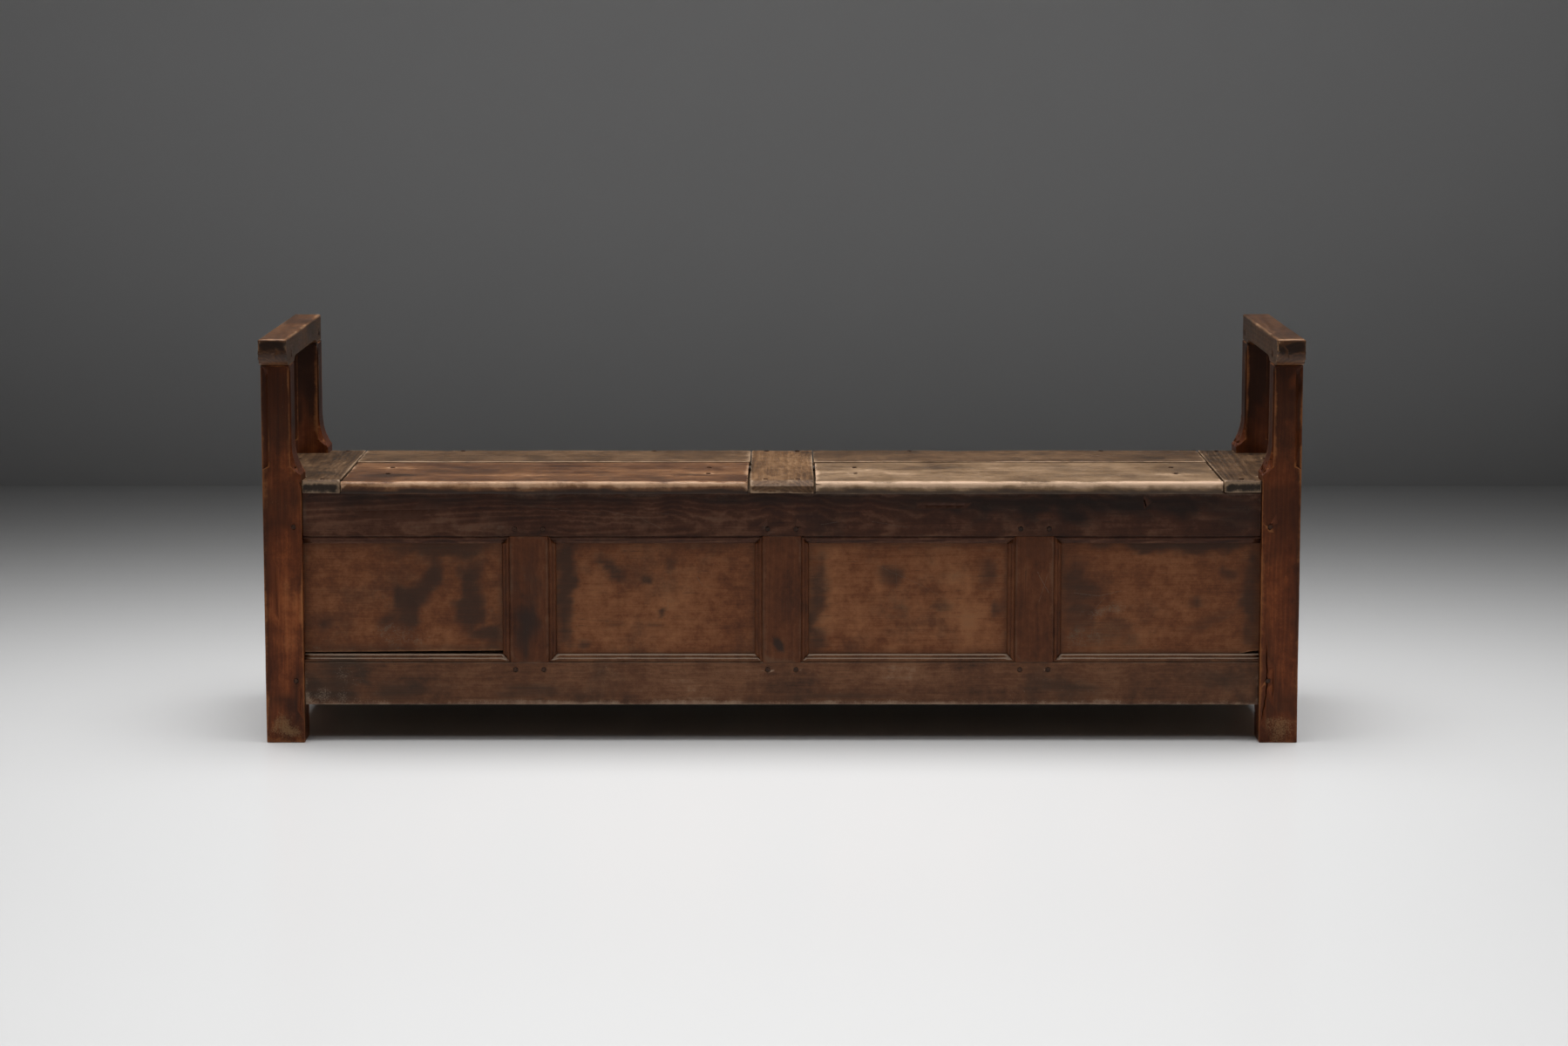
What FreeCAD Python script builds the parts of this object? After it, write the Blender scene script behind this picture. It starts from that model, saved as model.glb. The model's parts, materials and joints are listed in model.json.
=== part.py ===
import FreeCAD, Part
import math
import os
from FreeCAD import Vector

# A joined oak settle bench with a chest under its seat.
# Millimetres. The origin is on the floor, at the middle of the overall box.
# +X is to the right seen from the front, -Y is the front, +Z is up.

# Overall sizes
LENGTH = 1900.0
FRAME_DEPTH = 420.0
HEIGHT = 752.0
SEAT_TOP = 488.0

# Posts
POST_WIDTH = 71.0
POST_DEPTH = 62.0
SHAFT_WIDTH = 53.0
INNER_CHAMFER = 17.0
OUTER_CHAMFER = 13.5
COVE_TOE_RISE = 10.0
COVE_HEIGHT = 58.0
TONGUE_HEIGHT = 19.0
OUTER_STOP_RISE = 20.0
OUTER_STOP_HEIGHT = 7.0

# Arm rails
ARM_HEIGHT = 51.0
ARM_NOSE = 28.0
ARM_ARCH_RISE = 9.0
ARM_ARCH_RUN = 22.0
ARM_EDGE_ROUND = 5.0
ARM_TENON_THICK = 14.0
ARM_TENON_LONG = 40.0
ARM_TENON_HIGH = 35.0

# Front frame
RAIL_SETBACK = 12.0
RAIL_THICK = 30.0
TOP_RAIL_HEIGHT = 95.0
BOTTOM_RAIL_LOW = 69.0
BOTTOM_RAIL_HEIGHT = 94.0
MUNTIN_NAMES = ("left", "centre", "right")
MUNTIN_FLAT = 70.0
TENON_SHOULDER = 15.0
FRONT_TENON_LONG = 38.0
MUNTIN_TENON_LONG = 40.0
MUNTIN_TENON_SHOULDER = 1.0
MORTISE_SLACK = 1.0

# Stuck moulding: a bead between two quirks, then a quarter round down to the panel
MOULD_WIDTH = 15.0
MOULD_DEPTH = 9.0
QUIRK_WIDTH = 1.4
QUIRK_DEPTH = 2.6
BEAD_WIDTH = 7.0
BEAD_SUNK = 0.4
STEP_DEPTH = 4.0

# Panels and their grooves
PANEL_EDGE = 10.0
PANEL_FIELD = 5.0
PANEL_FEATHER = 20.0
PANEL_RIM = 2.0
GROOVE_DEPTH = 12.0
PANEL_ENGAGE = 10.0
SHRUNK_GAP_LEFT = 2.0
SHRUNK_GAP_RIGHT = 5.5
BROKEN_CORNER_WIDE = 34.0
BROKEN_CORNER_HIGH = 8.0
BROKEN_CORNER_STEP = 11.0

# Side frames
SIDE_SETBACK = 12.0
SIDE_THICK = 28.0
SIDE_TENON_LONG = 27.0
SIDE_CHAMFER = 6.0

# Back
BACK_SETBACK = 18.0
BACK_RAIL_THICK = 28.0
PLANK_THICK = 16.0
PLANK_LOW = 12.0
PLANK_LOWER_HIGH = 118.0
PLANK_MIDDLE_HIGH = 120.0
STUD_WIDTH = 70.0
STUD_THICK = 18.0

# Seat boards
SEAT_BOARD = 24.0
SEAT_SHORT_OF_BACK = 28.0
CENTRE_BOARD_WIDTH = 118.0
CENTRE_BOARD_OVERHANG = 8.0
END_BOARD_SHOWS = 70.0
END_BOARD_OVERHANG = 4.0
END_BOARD_OVER_SIDE = 4.0
REAR_BOARD_DEPTH = 145.5
SEAT_CHAMFER = 10.0
NOTCH_CLEARANCE = 0.4
BOARD_GAP = 0.5
BEARER_THICK = 24.0
END_BEARER_WIDTH = 60.0
CENTRE_BEARER_WIDTH = 150.0
BEARER_HOUSING = 8.0

# Lids, their battens and pivot pins
LID_GAP = 2.5
LID_OVERHANG = 19.0
LID_TOP_ROUND = 8.0
LID_LOW_ROUND = 4.0
BATTEN_WIDTH = 60.0
BATTEN_THICK = 20.0
BATTEN_INSET = 45.0
BATTEN_FROM_FRONT = 65.0
BATTEN_FROM_PIVOT = 24.0
BATTEN_BEVEL = 12.0
PIN_RADIUS = 5.0
PIN_CLEARANCE = 0.08
PIN_TANG = 7.0
PIN_IN_BOARD = 22.0
PIN_IN_LID = 22.0
PIN_END_SLACK = 1.5

# Floor of the chest
FLOOR_UNDER = 88.0
FLOOR_THICK = 16.0
FLOOR_BOARDS = 6
LEDGER_DEEP = 20.0
FRONT_LEDGER_LOW = 70.0
REAR_LEDGER_LOW = 61.0

# Pegs and nails
PEG_RADIUS = 4.0
PEG_SIDES = 6
PEG_PROUD = 0.6
PEG_SHORT_OF_BACK = 2.0
POST_PEG_FROM_INNER = 15.0
POST_PEG_DEEP = 46.0
TOP_PEG_ABOVE_SHOULDER = 19.0
BOTTOM_PEG_BELOW_SHOULDER = 32.0
MUNTIN_PEG_APART = 52.0
MUNTIN_PEG_FROM_SHOULDER = 13.0
ARM_PEG_RISE = 16.0
SIDE_PEG_DEEP = 45.0
SEAT_PEG_DEEP = 40.0
LID_PEG_DEEP = 42.0
NAIL_SHANK = 4.0
NAIL_HEAD = 9.0
NAIL_HEAD_HIGH = 2.0
NAIL_LONG = 30.0
BRAD_SHARE = 1 / 3

# Cutters, and shares of a length
CUT_OVER = 1.0
CUT_ROOM = 20.0
TOUCH = 0.01
QUARTER = 0.25
QUARTER_TURN = 90

# Places that follow from the sizes
HALF = LENGTH / 2
POST_IN = HALF - POST_WIDTH
SHAFT_IN = HALF - SHAFT_WIDTH
FACE_Y = ARM_NOSE - (FRAME_DEPTH + ARM_NOSE) / 2
BACK_Y = FACE_Y + FRAME_DEPTH
FRONT_POST_BACK = FACE_Y + POST_DEPTH
REAR_POST_FRONT = BACK_Y - POST_DEPTH
SEAT_UNDER = SEAT_TOP - SEAT_BOARD
ARM_UNDER = HEIGHT - ARM_HEIGHT
COVE_TOE = SEAT_TOP + COVE_TOE_RISE
COVE_TOP = COVE_TOE + COVE_HEIGHT
TONGUE_LOW = ARM_UNDER - TONGUE_HEIGHT
OUTER_STOP_LOW = SEAT_TOP + OUTER_STOP_RISE

RAIL_FACE = FACE_Y + RAIL_SETBACK
RAIL_BACK = RAIL_FACE + RAIL_THICK
TOP_RAIL_LOW = SEAT_UNDER - TOP_RAIL_HEIGHT
TOP_FLAT_LOW = TOP_RAIL_LOW + MOULD_WIDTH
BOTTOM_RAIL_TOP = BOTTOM_RAIL_LOW + BOTTOM_RAIL_HEIGHT
BOTTOM_FLAT_TOP = BOTTOM_RAIL_TOP - MOULD_WIDTH
GROOVE_FRONT = RAIL_FACE + MOULD_DEPTH
GROOVE_BACK = GROOVE_FRONT + PANEL_EDGE
MUNTIN_WIDE = MUNTIN_FLAT + 2 * MOULD_WIDTH
PANEL_VIEW = (2 * POST_IN - len(MUNTIN_NAMES) * MUNTIN_WIDE) / (len(MUNTIN_NAMES) + 1)
MUNTIN_PLACES = [(PANEL_VIEW + MUNTIN_WIDE) * (i + 1) - MUNTIN_WIDE / 2 - POST_IN
                 for i in range(len(MUNTIN_NAMES))]
TOP_TENON = (TOP_FLAT_LOW, SEAT_UNDER - TENON_SHOULDER)
BOTTOM_TENON = (BOTTOM_RAIL_LOW + TENON_SHOULDER, BOTTOM_FLAT_TOP)

SIDE_FACE = HALF - SIDE_SETBACK
SIDE_IN = SIDE_FACE - SIDE_THICK
SIDE_GROOVE_OUT = SIDE_FACE - MOULD_DEPTH
SIDE_GROOVE_IN = SIDE_GROOVE_OUT - PANEL_EDGE

BACK_RAIL_BACK = BACK_Y - BACK_SETBACK
BACK_RAIL_FRONT = BACK_RAIL_BACK - BACK_RAIL_THICK
PLANK_FRONT = (BACK_RAIL_FRONT + BACK_RAIL_BACK - PLANK_THICK) / 2
PLANK_BACK = PLANK_FRONT + PLANK_THICK
BACK_TENON_FRONT = (BACK_RAIL_FRONT + BACK_RAIL_BACK - PANEL_EDGE) / 2

SEAT_REAR = BACK_Y - SEAT_SHORT_OF_BACK
CENTRE_EDGE = CENTRE_BOARD_WIDTH / 2
END_EDGE = POST_IN - END_BOARD_SHOWS
LID_IN = CENTRE_EDGE + LID_GAP
LID_OUT = END_EDGE - LID_GAP
LID_FRONT = RAIL_FACE - LID_OVERHANG
REAR_BOARD_FRONT = SEAT_REAR - REAR_BOARD_DEPTH
PIVOT_Y = REAR_BOARD_FRONT - LID_GAP - SEAT_BOARD / 2
PIVOT_Z = SEAT_UNDER + SEAT_BOARD / 2
BEARER_LOW = SEAT_UNDER - BEARER_THICK
END_BEARER_IN = LID_OUT - END_BEARER_WIDTH / 2
END_BEARER_OUT = LID_OUT + END_BEARER_WIDTH / 2
FLOOR_TOP = FLOOR_UNDER + FLOOR_THICK

PARTS = {}


def box(x0, x1, y0, y1, z0, z1):
    """A block between two corners given in any order."""
    low = Vector(min(x0, x1), min(y0, y1), min(z0, z1))
    return Part.makeBox(abs(x1 - x0), abs(y1 - y0), abs(z1 - z0), low)


def peg(start, direction, length):
    """A whittled peg with flat sides, from a point along a direction. Its hole has the same shape."""
    corner = PEG_RADIUS / math.cos(math.pi / PEG_SIDES)
    turns = [2 * math.pi * (side + 0.5) / PEG_SIDES for side in range(PEG_SIDES)]
    ring = [Vector(corner * math.cos(turn), corner * math.sin(turn), 0) for turn in turns]
    shape = flat_face(ring).extrude(Vector(0, 0, length))
    shape.Placement = FreeCAD.Placement(start, FreeCAD.Rotation(Vector(0, 0, 1), direction))
    return shape


def round_bar(start, length, radius):
    """A round bar along X from a point; a negative length runs towards -X."""
    return Part.makeCylinder(radius, abs(length), start, Vector(math.copysign(1, length), 0, 0))


def flat_face(points):
    """A flat face over a closed run of corners."""
    return Part.Face(Part.makePolygon(points + points[:1]))


def tapered_block(lower, upper):
    """A solid between two outlines that have the same number of corners and flat sides between them."""
    faces = [flat_face(lower), flat_face(upper)]
    for here in range(len(lower)):
        after = (here + 1) % len(lower)
        faces.append(flat_face([lower[here], lower[after], upper[after], upper[here]]))
    solid = Part.makeSolid(Part.makeShell(faces))
    if solid.Volume < 0:
        solid.reverse()
    return solid


def square(half, z):
    """The corners of a level square about the Z axis."""
    return [Vector(-half, -half, z), Vector(half, -half, z), Vector(half, half, z), Vector(-half, half, z)]


def brad(head, direction, length):
    """A cut brad: a square shank with no head, driven flush with the face at head."""
    tip = NAIL_SHANK / 2
    shape = box(-tip, tip, -tip, tip, 0, length)
    shape.Placement = FreeCAD.Placement(head, FreeCAD.Rotation(Vector(0, 0, 1), direction))
    return shape


def nail(head, direction, length):
    """A forged nail: square shank, low four-sided head standing on the face at head."""
    tip = NAIL_SHANK / 2
    rose = tapered_block(square(NAIL_HEAD / 2, 0), square(tip, -NAIL_HEAD_HIGH))
    shape = rose.fuse(box(-tip, tip, -tip, tip, 0, length)).removeSplitter()
    shape.Placement = FreeCAD.Placement(head, FreeCAD.Rotation(Vector(0, 0, 1), direction))
    return shape


def arc_from_vertical(start_u, start_z, end_u, end_z, past=0.0):
    """Three points (u, z) of an arc that leaves its start vertically and ends at its end.

    past lengthens the arc beyond its end by about that much in z.
    """
    reach = start_u - end_u
    rise = end_z - start_z
    radius = (reach * reach + rise * rise) / (2 * abs(reach))
    toward = -1.0 if reach > 0 else 1.0
    angle = math.asin(min(1.0, (abs(rise) + past) / radius))
    upward = 1.0 if rise > 0 else -1.0

    def point(turn):
        return (start_u + toward * radius * (1 - math.cos(turn)),
                start_z + upward * radius * math.sin(turn))

    return point(0), point(angle / 2), point(angle)


def arc_edge(points, place):
    """An arc through three (u, z) points, put into space by place."""
    return Part.Arc(*[place(u, z) for u, z in points]).toShape()


def line(a, b):
    """A straight edge."""
    return Part.LineSegment(a, b).toShape()


def mirrored(shape):
    """The same shape on the other side of the bench."""
    return shape.mirror(Vector(0, 0, 0), Vector(1, 0, 0))


def keep(name, shape):
    """Registers a finished piece, or a group of separate identical fasteners."""
    if isinstance(shape, list):
        shape = Part.makeCompound(shape)
    PARTS[name] = shape


def keep_pair(name, shape):
    """Registers a right-hand piece and its mirrored left-hand twin."""
    if isinstance(shape, list):
        shape = Part.makeCompound(shape)
    keep(name + "_right", shape)
    keep(name + "_left", mirrored(shape))


def shaft_recess(y, depth):
    """What is cut from a post's inner side above the seat: a shaft face that runs out in a cove."""

    def place(u, z):
        return Vector(u, y, z)

    cove = arc_from_vertical(SHAFT_IN, COVE_TOP, POST_IN, COVE_TOE, past=CUT_OVER)
    toe = place(*cove[2])
    outside = toe - Vector(CUT_ROOM, 0, 0)
    above = ARM_UNDER + CUT_OVER
    edges = [line(outside, toe),
             arc_edge(tuple(reversed(cove)), place),
             line(place(SHAFT_IN, COVE_TOP), place(SHAFT_IN, above)),
             line(place(SHAFT_IN, above), place(outside.x, above)),
             line(place(outside.x, above), outside)]
    return Part.Face(Part.Wire(edges)).extrude(Vector(0, depth, 0))


def inner_chamfer():
    """The cutter of an inner shaft arris: it runs out with the cove below and in a tongue above.

    Its corner is on the Z axis and its X points into the wood.
    """
    deep = INNER_CHAMFER / math.sqrt(2)
    corner = (POST_IN - SHAFT_IN) / math.sqrt(2)
    out = corner - CUT_ROOM

    def place(u, z):
        return Vector(u, 0, z)

    cove = arc_from_vertical(deep, COVE_TOP, corner, COVE_TOE, past=CUT_OVER)
    tongue = arc_from_vertical(deep, TONGUE_LOW, 0.0, ARM_UNDER)
    above = ARM_UNDER + CUT_OVER
    edges = [arc_edge(tuple(reversed(cove)), place),
             line(place(deep, COVE_TOP), place(deep, TONGUE_LOW)),
             arc_edge(tongue, place),
             line(place(0, ARM_UNDER), place(out, above)),
             line(place(out, above), place(out, cove[2][1])),
             line(place(out, cove[2][1]), place(*cove[2]))]
    return arris_cutter(edges, INNER_CHAMFER)


def stopped_chamfer(leg, low, low_run, high, high_run):
    """The cutter of one arris, along its own Z from low to high, with its corner on the Z axis.

    Its X points into the wood. The low end stops on a slope, the high end on a curved tongue.
    """
    deep = leg / math.sqrt(2)
    out = -CUT_OVER

    def place(u, z):
        return Vector(u, 0, z)

    tongue = arc_from_vertical(deep, high - high_run, 0.0, high)
    slope = low_run / deep
    start = place(out, low + out * slope)
    full = place(deep, low + low_run)
    edges = [line(start, full),
             line(full, place(deep, high - high_run)),
             arc_edge(tongue, place),
             line(place(0, high), place(out, high + CUT_OVER)),
             line(place(out, high + CUT_OVER), start)]
    return arris_cutter(edges, leg)


def arris_cutter(edges, leg):
    """A prism wide enough to cut an arris of the given leg, from its outline at Y 0."""
    reach = 2 * leg
    cutter = Part.Face(Part.Wire(edges)).extrude(Vector(0, 2 * reach, 0))
    cutter.translate(Vector(0, -reach, 0))
    return cutter


def turned(shape, corner, inward, along):
    """Puts a cutter's X along inward and its Z along a direction, with its corner at a point."""
    x_way = Vector(inward).normalize()
    z_way = Vector(along).normalize()
    y_way = z_way.cross(x_way)
    matrix = FreeCAD.Matrix(x_way.x, y_way.x, z_way.x, corner.x,
                            x_way.y, y_way.y, z_way.y, corner.y,
                            x_way.z, y_way.z, z_way.z, corner.z,
                            0, 0, 0, 1)
    placed = shape.copy()
    placed.Placement = FreeCAD.Placement(matrix)
    return placed


def post_blank(face, inward):
    """A right-hand post without joints. face is its outer face in Y, inward the way to its other face."""
    back = face + inward * POST_DEPTH
    stock = box(POST_IN, HALF, face, back, 0, ARM_UNDER)
    arris = stopped_chamfer(OUTER_CHAMFER, OUTER_STOP_LOW, OUTER_STOP_HEIGHT, ARM_UNDER, TONGUE_HEIGHT)
    inner = inner_chamfer()
    up = Vector(0, 0, 1)
    cuts = [shaft_recess(face, inward * POST_DEPTH),
            turned(inner, Vector(SHAFT_IN, face, 0), Vector(1, inward, 0), up),
            turned(inner, Vector(SHAFT_IN, back, 0), Vector(1, -inward, 0), up),
            turned(arris, Vector(HALF, face, 0), Vector(-1, inward, 0), up),
            turned(arris, Vector(HALF, back, 0), Vector(-1, -inward, 0), up)]
    shape = stock
    for cut in cuts:
        shape = shape.cut(cut)
    middle_y = (face + back) / 2
    return shape.fuse(arm_tenon(middle_y, 0.0)).removeSplitter()


def arm_tenon(middle_y, slack):
    """The tenon on a post's top, or with slack the mortise that takes it."""
    middle_x = (SHAFT_IN + HALF) / 2
    return box(middle_x - ARM_TENON_THICK / 2, middle_x + ARM_TENON_THICK / 2,
               middle_y - ARM_TENON_LONG / 2, middle_y + ARM_TENON_LONG / 2,
               ARM_UNDER, ARM_UNDER + ARM_TENON_HIGH + slack)


def front_post_pegs():
    """Pegs of the right-hand front post, through the tenons of the front rails."""
    x = POST_IN + POST_PEG_FROM_INNER
    heights = (TOP_FLAT_LOW + TOP_PEG_ABOVE_SHOULDER, BOTTOM_FLAT_TOP - BOTTOM_PEG_BELOW_SHOULDER)
    return [peg(Vector(x, FACE_Y - PEG_PROUD, z), Vector(0, 1, 0), POST_PEG_DEEP) for z in heights]


def rear_post_pegs():
    """The peg of the right-hand rear post, through the tenon of the back rail."""
    x = POST_IN + POST_PEG_FROM_INNER
    z = TOP_FLAT_LOW + TOP_PEG_ABOVE_SHOULDER
    return [peg(Vector(x, BACK_Y, z), Vector(0, -1, 0), POST_PEG_DEEP)]


def side_pegs():
    """Pegs of the right-hand side frame, driven from outside through its rails' tenons."""
    reach = SIDE_TENON_LONG / 2
    pegs = []
    for y in (FRONT_POST_BACK - reach, REAR_POST_FRONT + reach):
        for z in (TOP_FLAT_LOW + TOP_PEG_ABOVE_SHOULDER, BOTTOM_FLAT_TOP - BOTTOM_PEG_BELOW_SHOULDER):
            pegs.append(peg(Vector(HALF + PEG_PROUD, y, z), Vector(-1, 0, 0), SIDE_PEG_DEEP))
    return pegs


def arm_pegs():
    """Pegs of the right-hand arm rail, right through it and the post tenons."""
    z = ARM_UNDER + ARM_PEG_RISE
    reach = SHAFT_WIDTH + 2 * PEG_PROUD
    middles = (FACE_Y + POST_DEPTH / 2, BACK_Y - POST_DEPTH / 2)
    return [peg(Vector(HALF + PEG_PROUD, y, z), Vector(-1, 0, 0), reach) for y in middles]


def muntin_pegs():
    """Pegs through the muntin tenons, two at each end of each muntin."""
    pegs = []
    length = RAIL_THICK + PEG_PROUD - PEG_SHORT_OF_BACK
    for middle in MUNTIN_PLACES:
        for side in (-1, 1):
            x = middle + side * MUNTIN_PEG_APART / 2
            for z in (TOP_FLAT_LOW + MUNTIN_PEG_FROM_SHOULDER, BOTTOM_FLAT_TOP - MUNTIN_PEG_FROM_SHOULDER):
                pegs.append(peg(Vector(x, RAIL_FACE - PEG_PROUD, z), Vector(0, 1, 0), length))
    return pegs


def cut_all(shape, tools):
    """The shape with every tool cut from it."""
    for tool in tools:
        shape = shape.cut(tool)
    return shape


def side_joint_cuts(face, way):
    """Mortises and groove for the right-hand side frame in a post face that looks along way in Y."""
    deep = face - way * (SIDE_TENON_LONG + MORTISE_SLACK)
    groove = face - way * GROOVE_DEPTH
    cuts = [box(SIDE_GROOVE_IN, SIDE_GROOVE_OUT, face, deep, *span) for span in (TOP_TENON, BOTTOM_TENON)]
    cuts.append(box(SIDE_GROOVE_IN, SIDE_GROOVE_OUT, face, groove, BOTTOM_FLAT_TOP, TOP_FLAT_LOW))
    return cuts


def make_front_post():
    """The right-hand front post: mortises for both front rails, a groove for the end panel."""
    deep = POST_IN + FRONT_TENON_LONG + MORTISE_SLACK
    cuts = [box(POST_IN, deep, GROOVE_FRONT, GROOVE_BACK, *span) for span in (TOP_TENON, BOTTOM_TENON)]
    cuts.append(box(POST_IN, POST_IN + GROOVE_DEPTH, GROOVE_FRONT, GROOVE_BACK,
                    BOTTOM_FLAT_TOP, TOP_FLAT_LOW))
    cuts += side_joint_cuts(FRONT_POST_BACK, 1)
    cuts += front_post_pegs() + side_pegs() + arm_pegs()
    return cut_all(post_blank(FACE_Y, 1), cuts)


def make_rear_post():
    """The right-hand rear post: a mortise for the back rail, a groove for the back planks."""
    deep = POST_IN + FRONT_TENON_LONG + MORTISE_SLACK
    cuts = [box(POST_IN, deep, BACK_TENON_FRONT, BACK_TENON_FRONT + PANEL_EDGE, *TOP_TENON),
            box(POST_IN, POST_IN + GROOVE_DEPTH, PLANK_FRONT, PLANK_BACK, PLANK_LOW, TOP_FLAT_LOW)]
    cuts += side_joint_cuts(REAR_POST_FRONT, -1)
    cuts += rear_post_pegs() + side_pegs() + arm_pegs()
    return cut_all(post_blank(BACK_Y, -1), cuts)


def make_arm_rail():
    """The right-hand arm rail: a rounded nose, an arch between the posts, worn top edges."""
    nose_y = FACE_Y - ARM_NOSE
    arch_z = ARM_UNDER + ARM_ARCH_RISE

    def place(y, z):
        return Vector(SHAFT_IN, y, z)

    def arch_end(post_y, way):
        run = ARM_ARCH_RUN
        rise = ARM_ARCH_RISE
        radius = (run * run + rise * rise) / (2 * rise)
        angle = math.asin(run / radius) / 2
        top_y = post_y + way * run
        middle = place(top_y - way * radius * math.sin(angle), arch_z - radius * (1 - math.cos(angle)))
        return Part.Arc(place(post_y, ARM_UNDER), middle, place(top_y, arch_z)).toShape()

    slant = ARM_NOSE * math.sqrt(0.5)
    nose_low = ARM_UNDER + ARM_NOSE
    nose = Part.Arc(place(nose_y, nose_low),
                    place(FACE_Y - slant, nose_low - slant),
                    place(FACE_Y, ARM_UNDER)).toShape()
    edges = [line(place(nose_y, HEIGHT), place(nose_y, nose_low)),
             nose,
             line(place(FACE_Y, ARM_UNDER), place(FRONT_POST_BACK, ARM_UNDER)),
             arch_end(FRONT_POST_BACK, 1),
             line(place(FRONT_POST_BACK + ARM_ARCH_RUN, arch_z),
                  place(REAR_POST_FRONT - ARM_ARCH_RUN, arch_z)),
             arch_end(REAR_POST_FRONT, -1),
             line(place(REAR_POST_FRONT, ARM_UNDER), place(BACK_Y, ARM_UNDER)),
             line(place(BACK_Y, ARM_UNDER), place(BACK_Y, HEIGHT)),
             line(place(BACK_Y, HEIGHT), place(nose_y, HEIGHT))]
    wire = Part.Wire(Part.__sortEdges__(edges))
    rail = Part.Face(wire).extrude(Vector(SHAFT_WIDTH, 0, 0))
    top_edges = [e for e in rail.Edges if min(v.Z for v in e.Vertexes) > HEIGHT - TOUCH]
    rail = rail.makeFillet(ARM_EDGE_ROUND, top_edges)
    middles = (FACE_Y + POST_DEPTH / 2, BACK_Y - POST_DEPTH / 2)
    return cut_all(rail, [arm_tenon(y, MORTISE_SLACK) for y in middles] + arm_pegs())


def moulding_cut(place, along):
    """What the moulding plane takes off. place puts (across, deep) into space, along is the run.

    across is counted from the edge of the flat, deep from the face of the wood.
    """
    bead_start = QUIRK_WIDTH
    bead_end = bead_start + BEAD_WIDTH
    step = bead_end + QUIRK_WIDTH
    quarter = math.sqrt(0.5)
    round_wide = MOULD_WIDTH - step
    round_deep = MOULD_DEPTH - STEP_DEPTH
    over = CUT_OVER
    points = [(0, -over), (0, QUIRK_DEPTH), (bead_start, QUIRK_DEPTH)]
    edges = [line(place(*points[0]), place(*points[1])),
             line(place(*points[1]), place(*points[2])),
             Part.Arc(place(bead_start, QUIRK_DEPTH), place(bead_start + BEAD_WIDTH / 2, BEAD_SUNK),
                      place(bead_end, QUIRK_DEPTH)).toShape(),
             line(place(bead_end, QUIRK_DEPTH), place(bead_end, STEP_DEPTH)),
             line(place(bead_end, STEP_DEPTH), place(step, STEP_DEPTH)),
             Part.Arc(place(step, STEP_DEPTH),
                      place(step + round_wide * quarter, MOULD_DEPTH - round_deep * quarter),
                      place(MOULD_WIDTH, MOULD_DEPTH)).toShape(),
             line(place(MOULD_WIDTH, MOULD_DEPTH), place(MOULD_WIDTH + over, MOULD_DEPTH)),
             line(place(MOULD_WIDTH + over, MOULD_DEPTH), place(MOULD_WIDTH + over, -over)),
             line(place(MOULD_WIDTH + over, -over), place(0, -over))]
    return Part.Face(Part.Wire(edges)).extrude(along)


def muntin_outline(middle):
    """A muntin's block between the rails' flats, its mouldings mitred at both ends."""
    flat = MUNTIN_FLAT / 2
    wide = MUNTIN_WIDE / 2
    corners = [(middle - flat, BOTTOM_FLAT_TOP), (middle + flat, BOTTOM_FLAT_TOP),
               (middle + wide, BOTTOM_RAIL_TOP), (middle + wide, TOP_RAIL_LOW),
               (middle + flat, TOP_FLAT_LOW), (middle - flat, TOP_FLAT_LOW),
               (middle - wide, TOP_RAIL_LOW), (middle - wide, BOTTOM_RAIL_TOP)]
    points = [Vector(x, RAIL_FACE, z) for x, z in corners]
    return flat_face(points).extrude(Vector(0, RAIL_THICK, 0))


def muntin_tenons(middle, slack):
    """Both tenons of a muntin, or with slack the mortises that take them."""
    half = MUNTIN_FLAT / 2 - MUNTIN_TENON_SHOULDER
    reach = MUNTIN_TENON_LONG + slack
    spans = ((TOP_FLAT_LOW, TOP_FLAT_LOW + reach), (BOTTOM_FLAT_TOP, BOTTOM_FLAT_TOP - reach))
    return [box(middle - half, middle + half, GROOVE_FRONT, GROOVE_BACK, *span) for span in spans]


def make_muntin(middle):
    """A muntin: mitred bead mouldings and panel grooves on both sides, a tenon at each end."""
    shape = muntin_outline(middle)
    run = TOP_FLAT_LOW - BOTTOM_FLAT_TOP
    for side in (-1, 1):

        def place(across, deep, side=side):
            x = middle + side * (MUNTIN_FLAT / 2 + across)
            return Vector(x, RAIL_FACE + deep, BOTTOM_FLAT_TOP)

        shape = shape.cut(moulding_cut(place, Vector(0, 0, run)))
        edge = middle + side * MUNTIN_WIDE / 2
        shape = shape.cut(box(edge, edge - side * GROOVE_DEPTH, GROOVE_FRONT, GROOVE_BACK,
                              BOTTOM_FLAT_TOP, TOP_FLAT_LOW))
    for tenon in muntin_tenons(middle, 0.0):
        shape = shape.fuse(tenon)
    return cut_all(shape.removeSplitter(), muntin_pegs())


def front_rail(low, high, flat_edge, way, tenon):
    """A front rail: moulded and grooved along the edge towards the panels, cut out for the muntins.

    flat_edge is the height where its flat ends and way is +1 if the moulding lies above it.
    """
    shape = box(-POST_IN, POST_IN, RAIL_FACE, RAIL_BACK, low, high)

    def place(across, deep):
        return Vector(-POST_IN, RAIL_FACE + deep, flat_edge + way * across)

    shape = shape.cut(moulding_cut(place, Vector(2 * POST_IN, 0, 0)))
    edge = flat_edge + way * MOULD_WIDTH
    shape = shape.cut(box(-POST_IN, POST_IN, GROOVE_FRONT, GROOVE_BACK, edge, edge - way * GROOVE_DEPTH))
    for middle in MUNTIN_PLACES:
        shape = cut_all(shape, [muntin_outline(middle)] + muntin_tenons(middle, MORTISE_SLACK))
    for side in (-1, 1):
        end = side * POST_IN
        shape = shape.fuse(box(end, end + side * FRONT_TENON_LONG, GROOVE_FRONT, GROOVE_BACK, *tenon))
    pegs = front_post_pegs()
    pegs += [mirrored(p) for p in pegs]
    return cut_all(shape.removeSplitter(), pegs + muntin_pegs())


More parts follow.
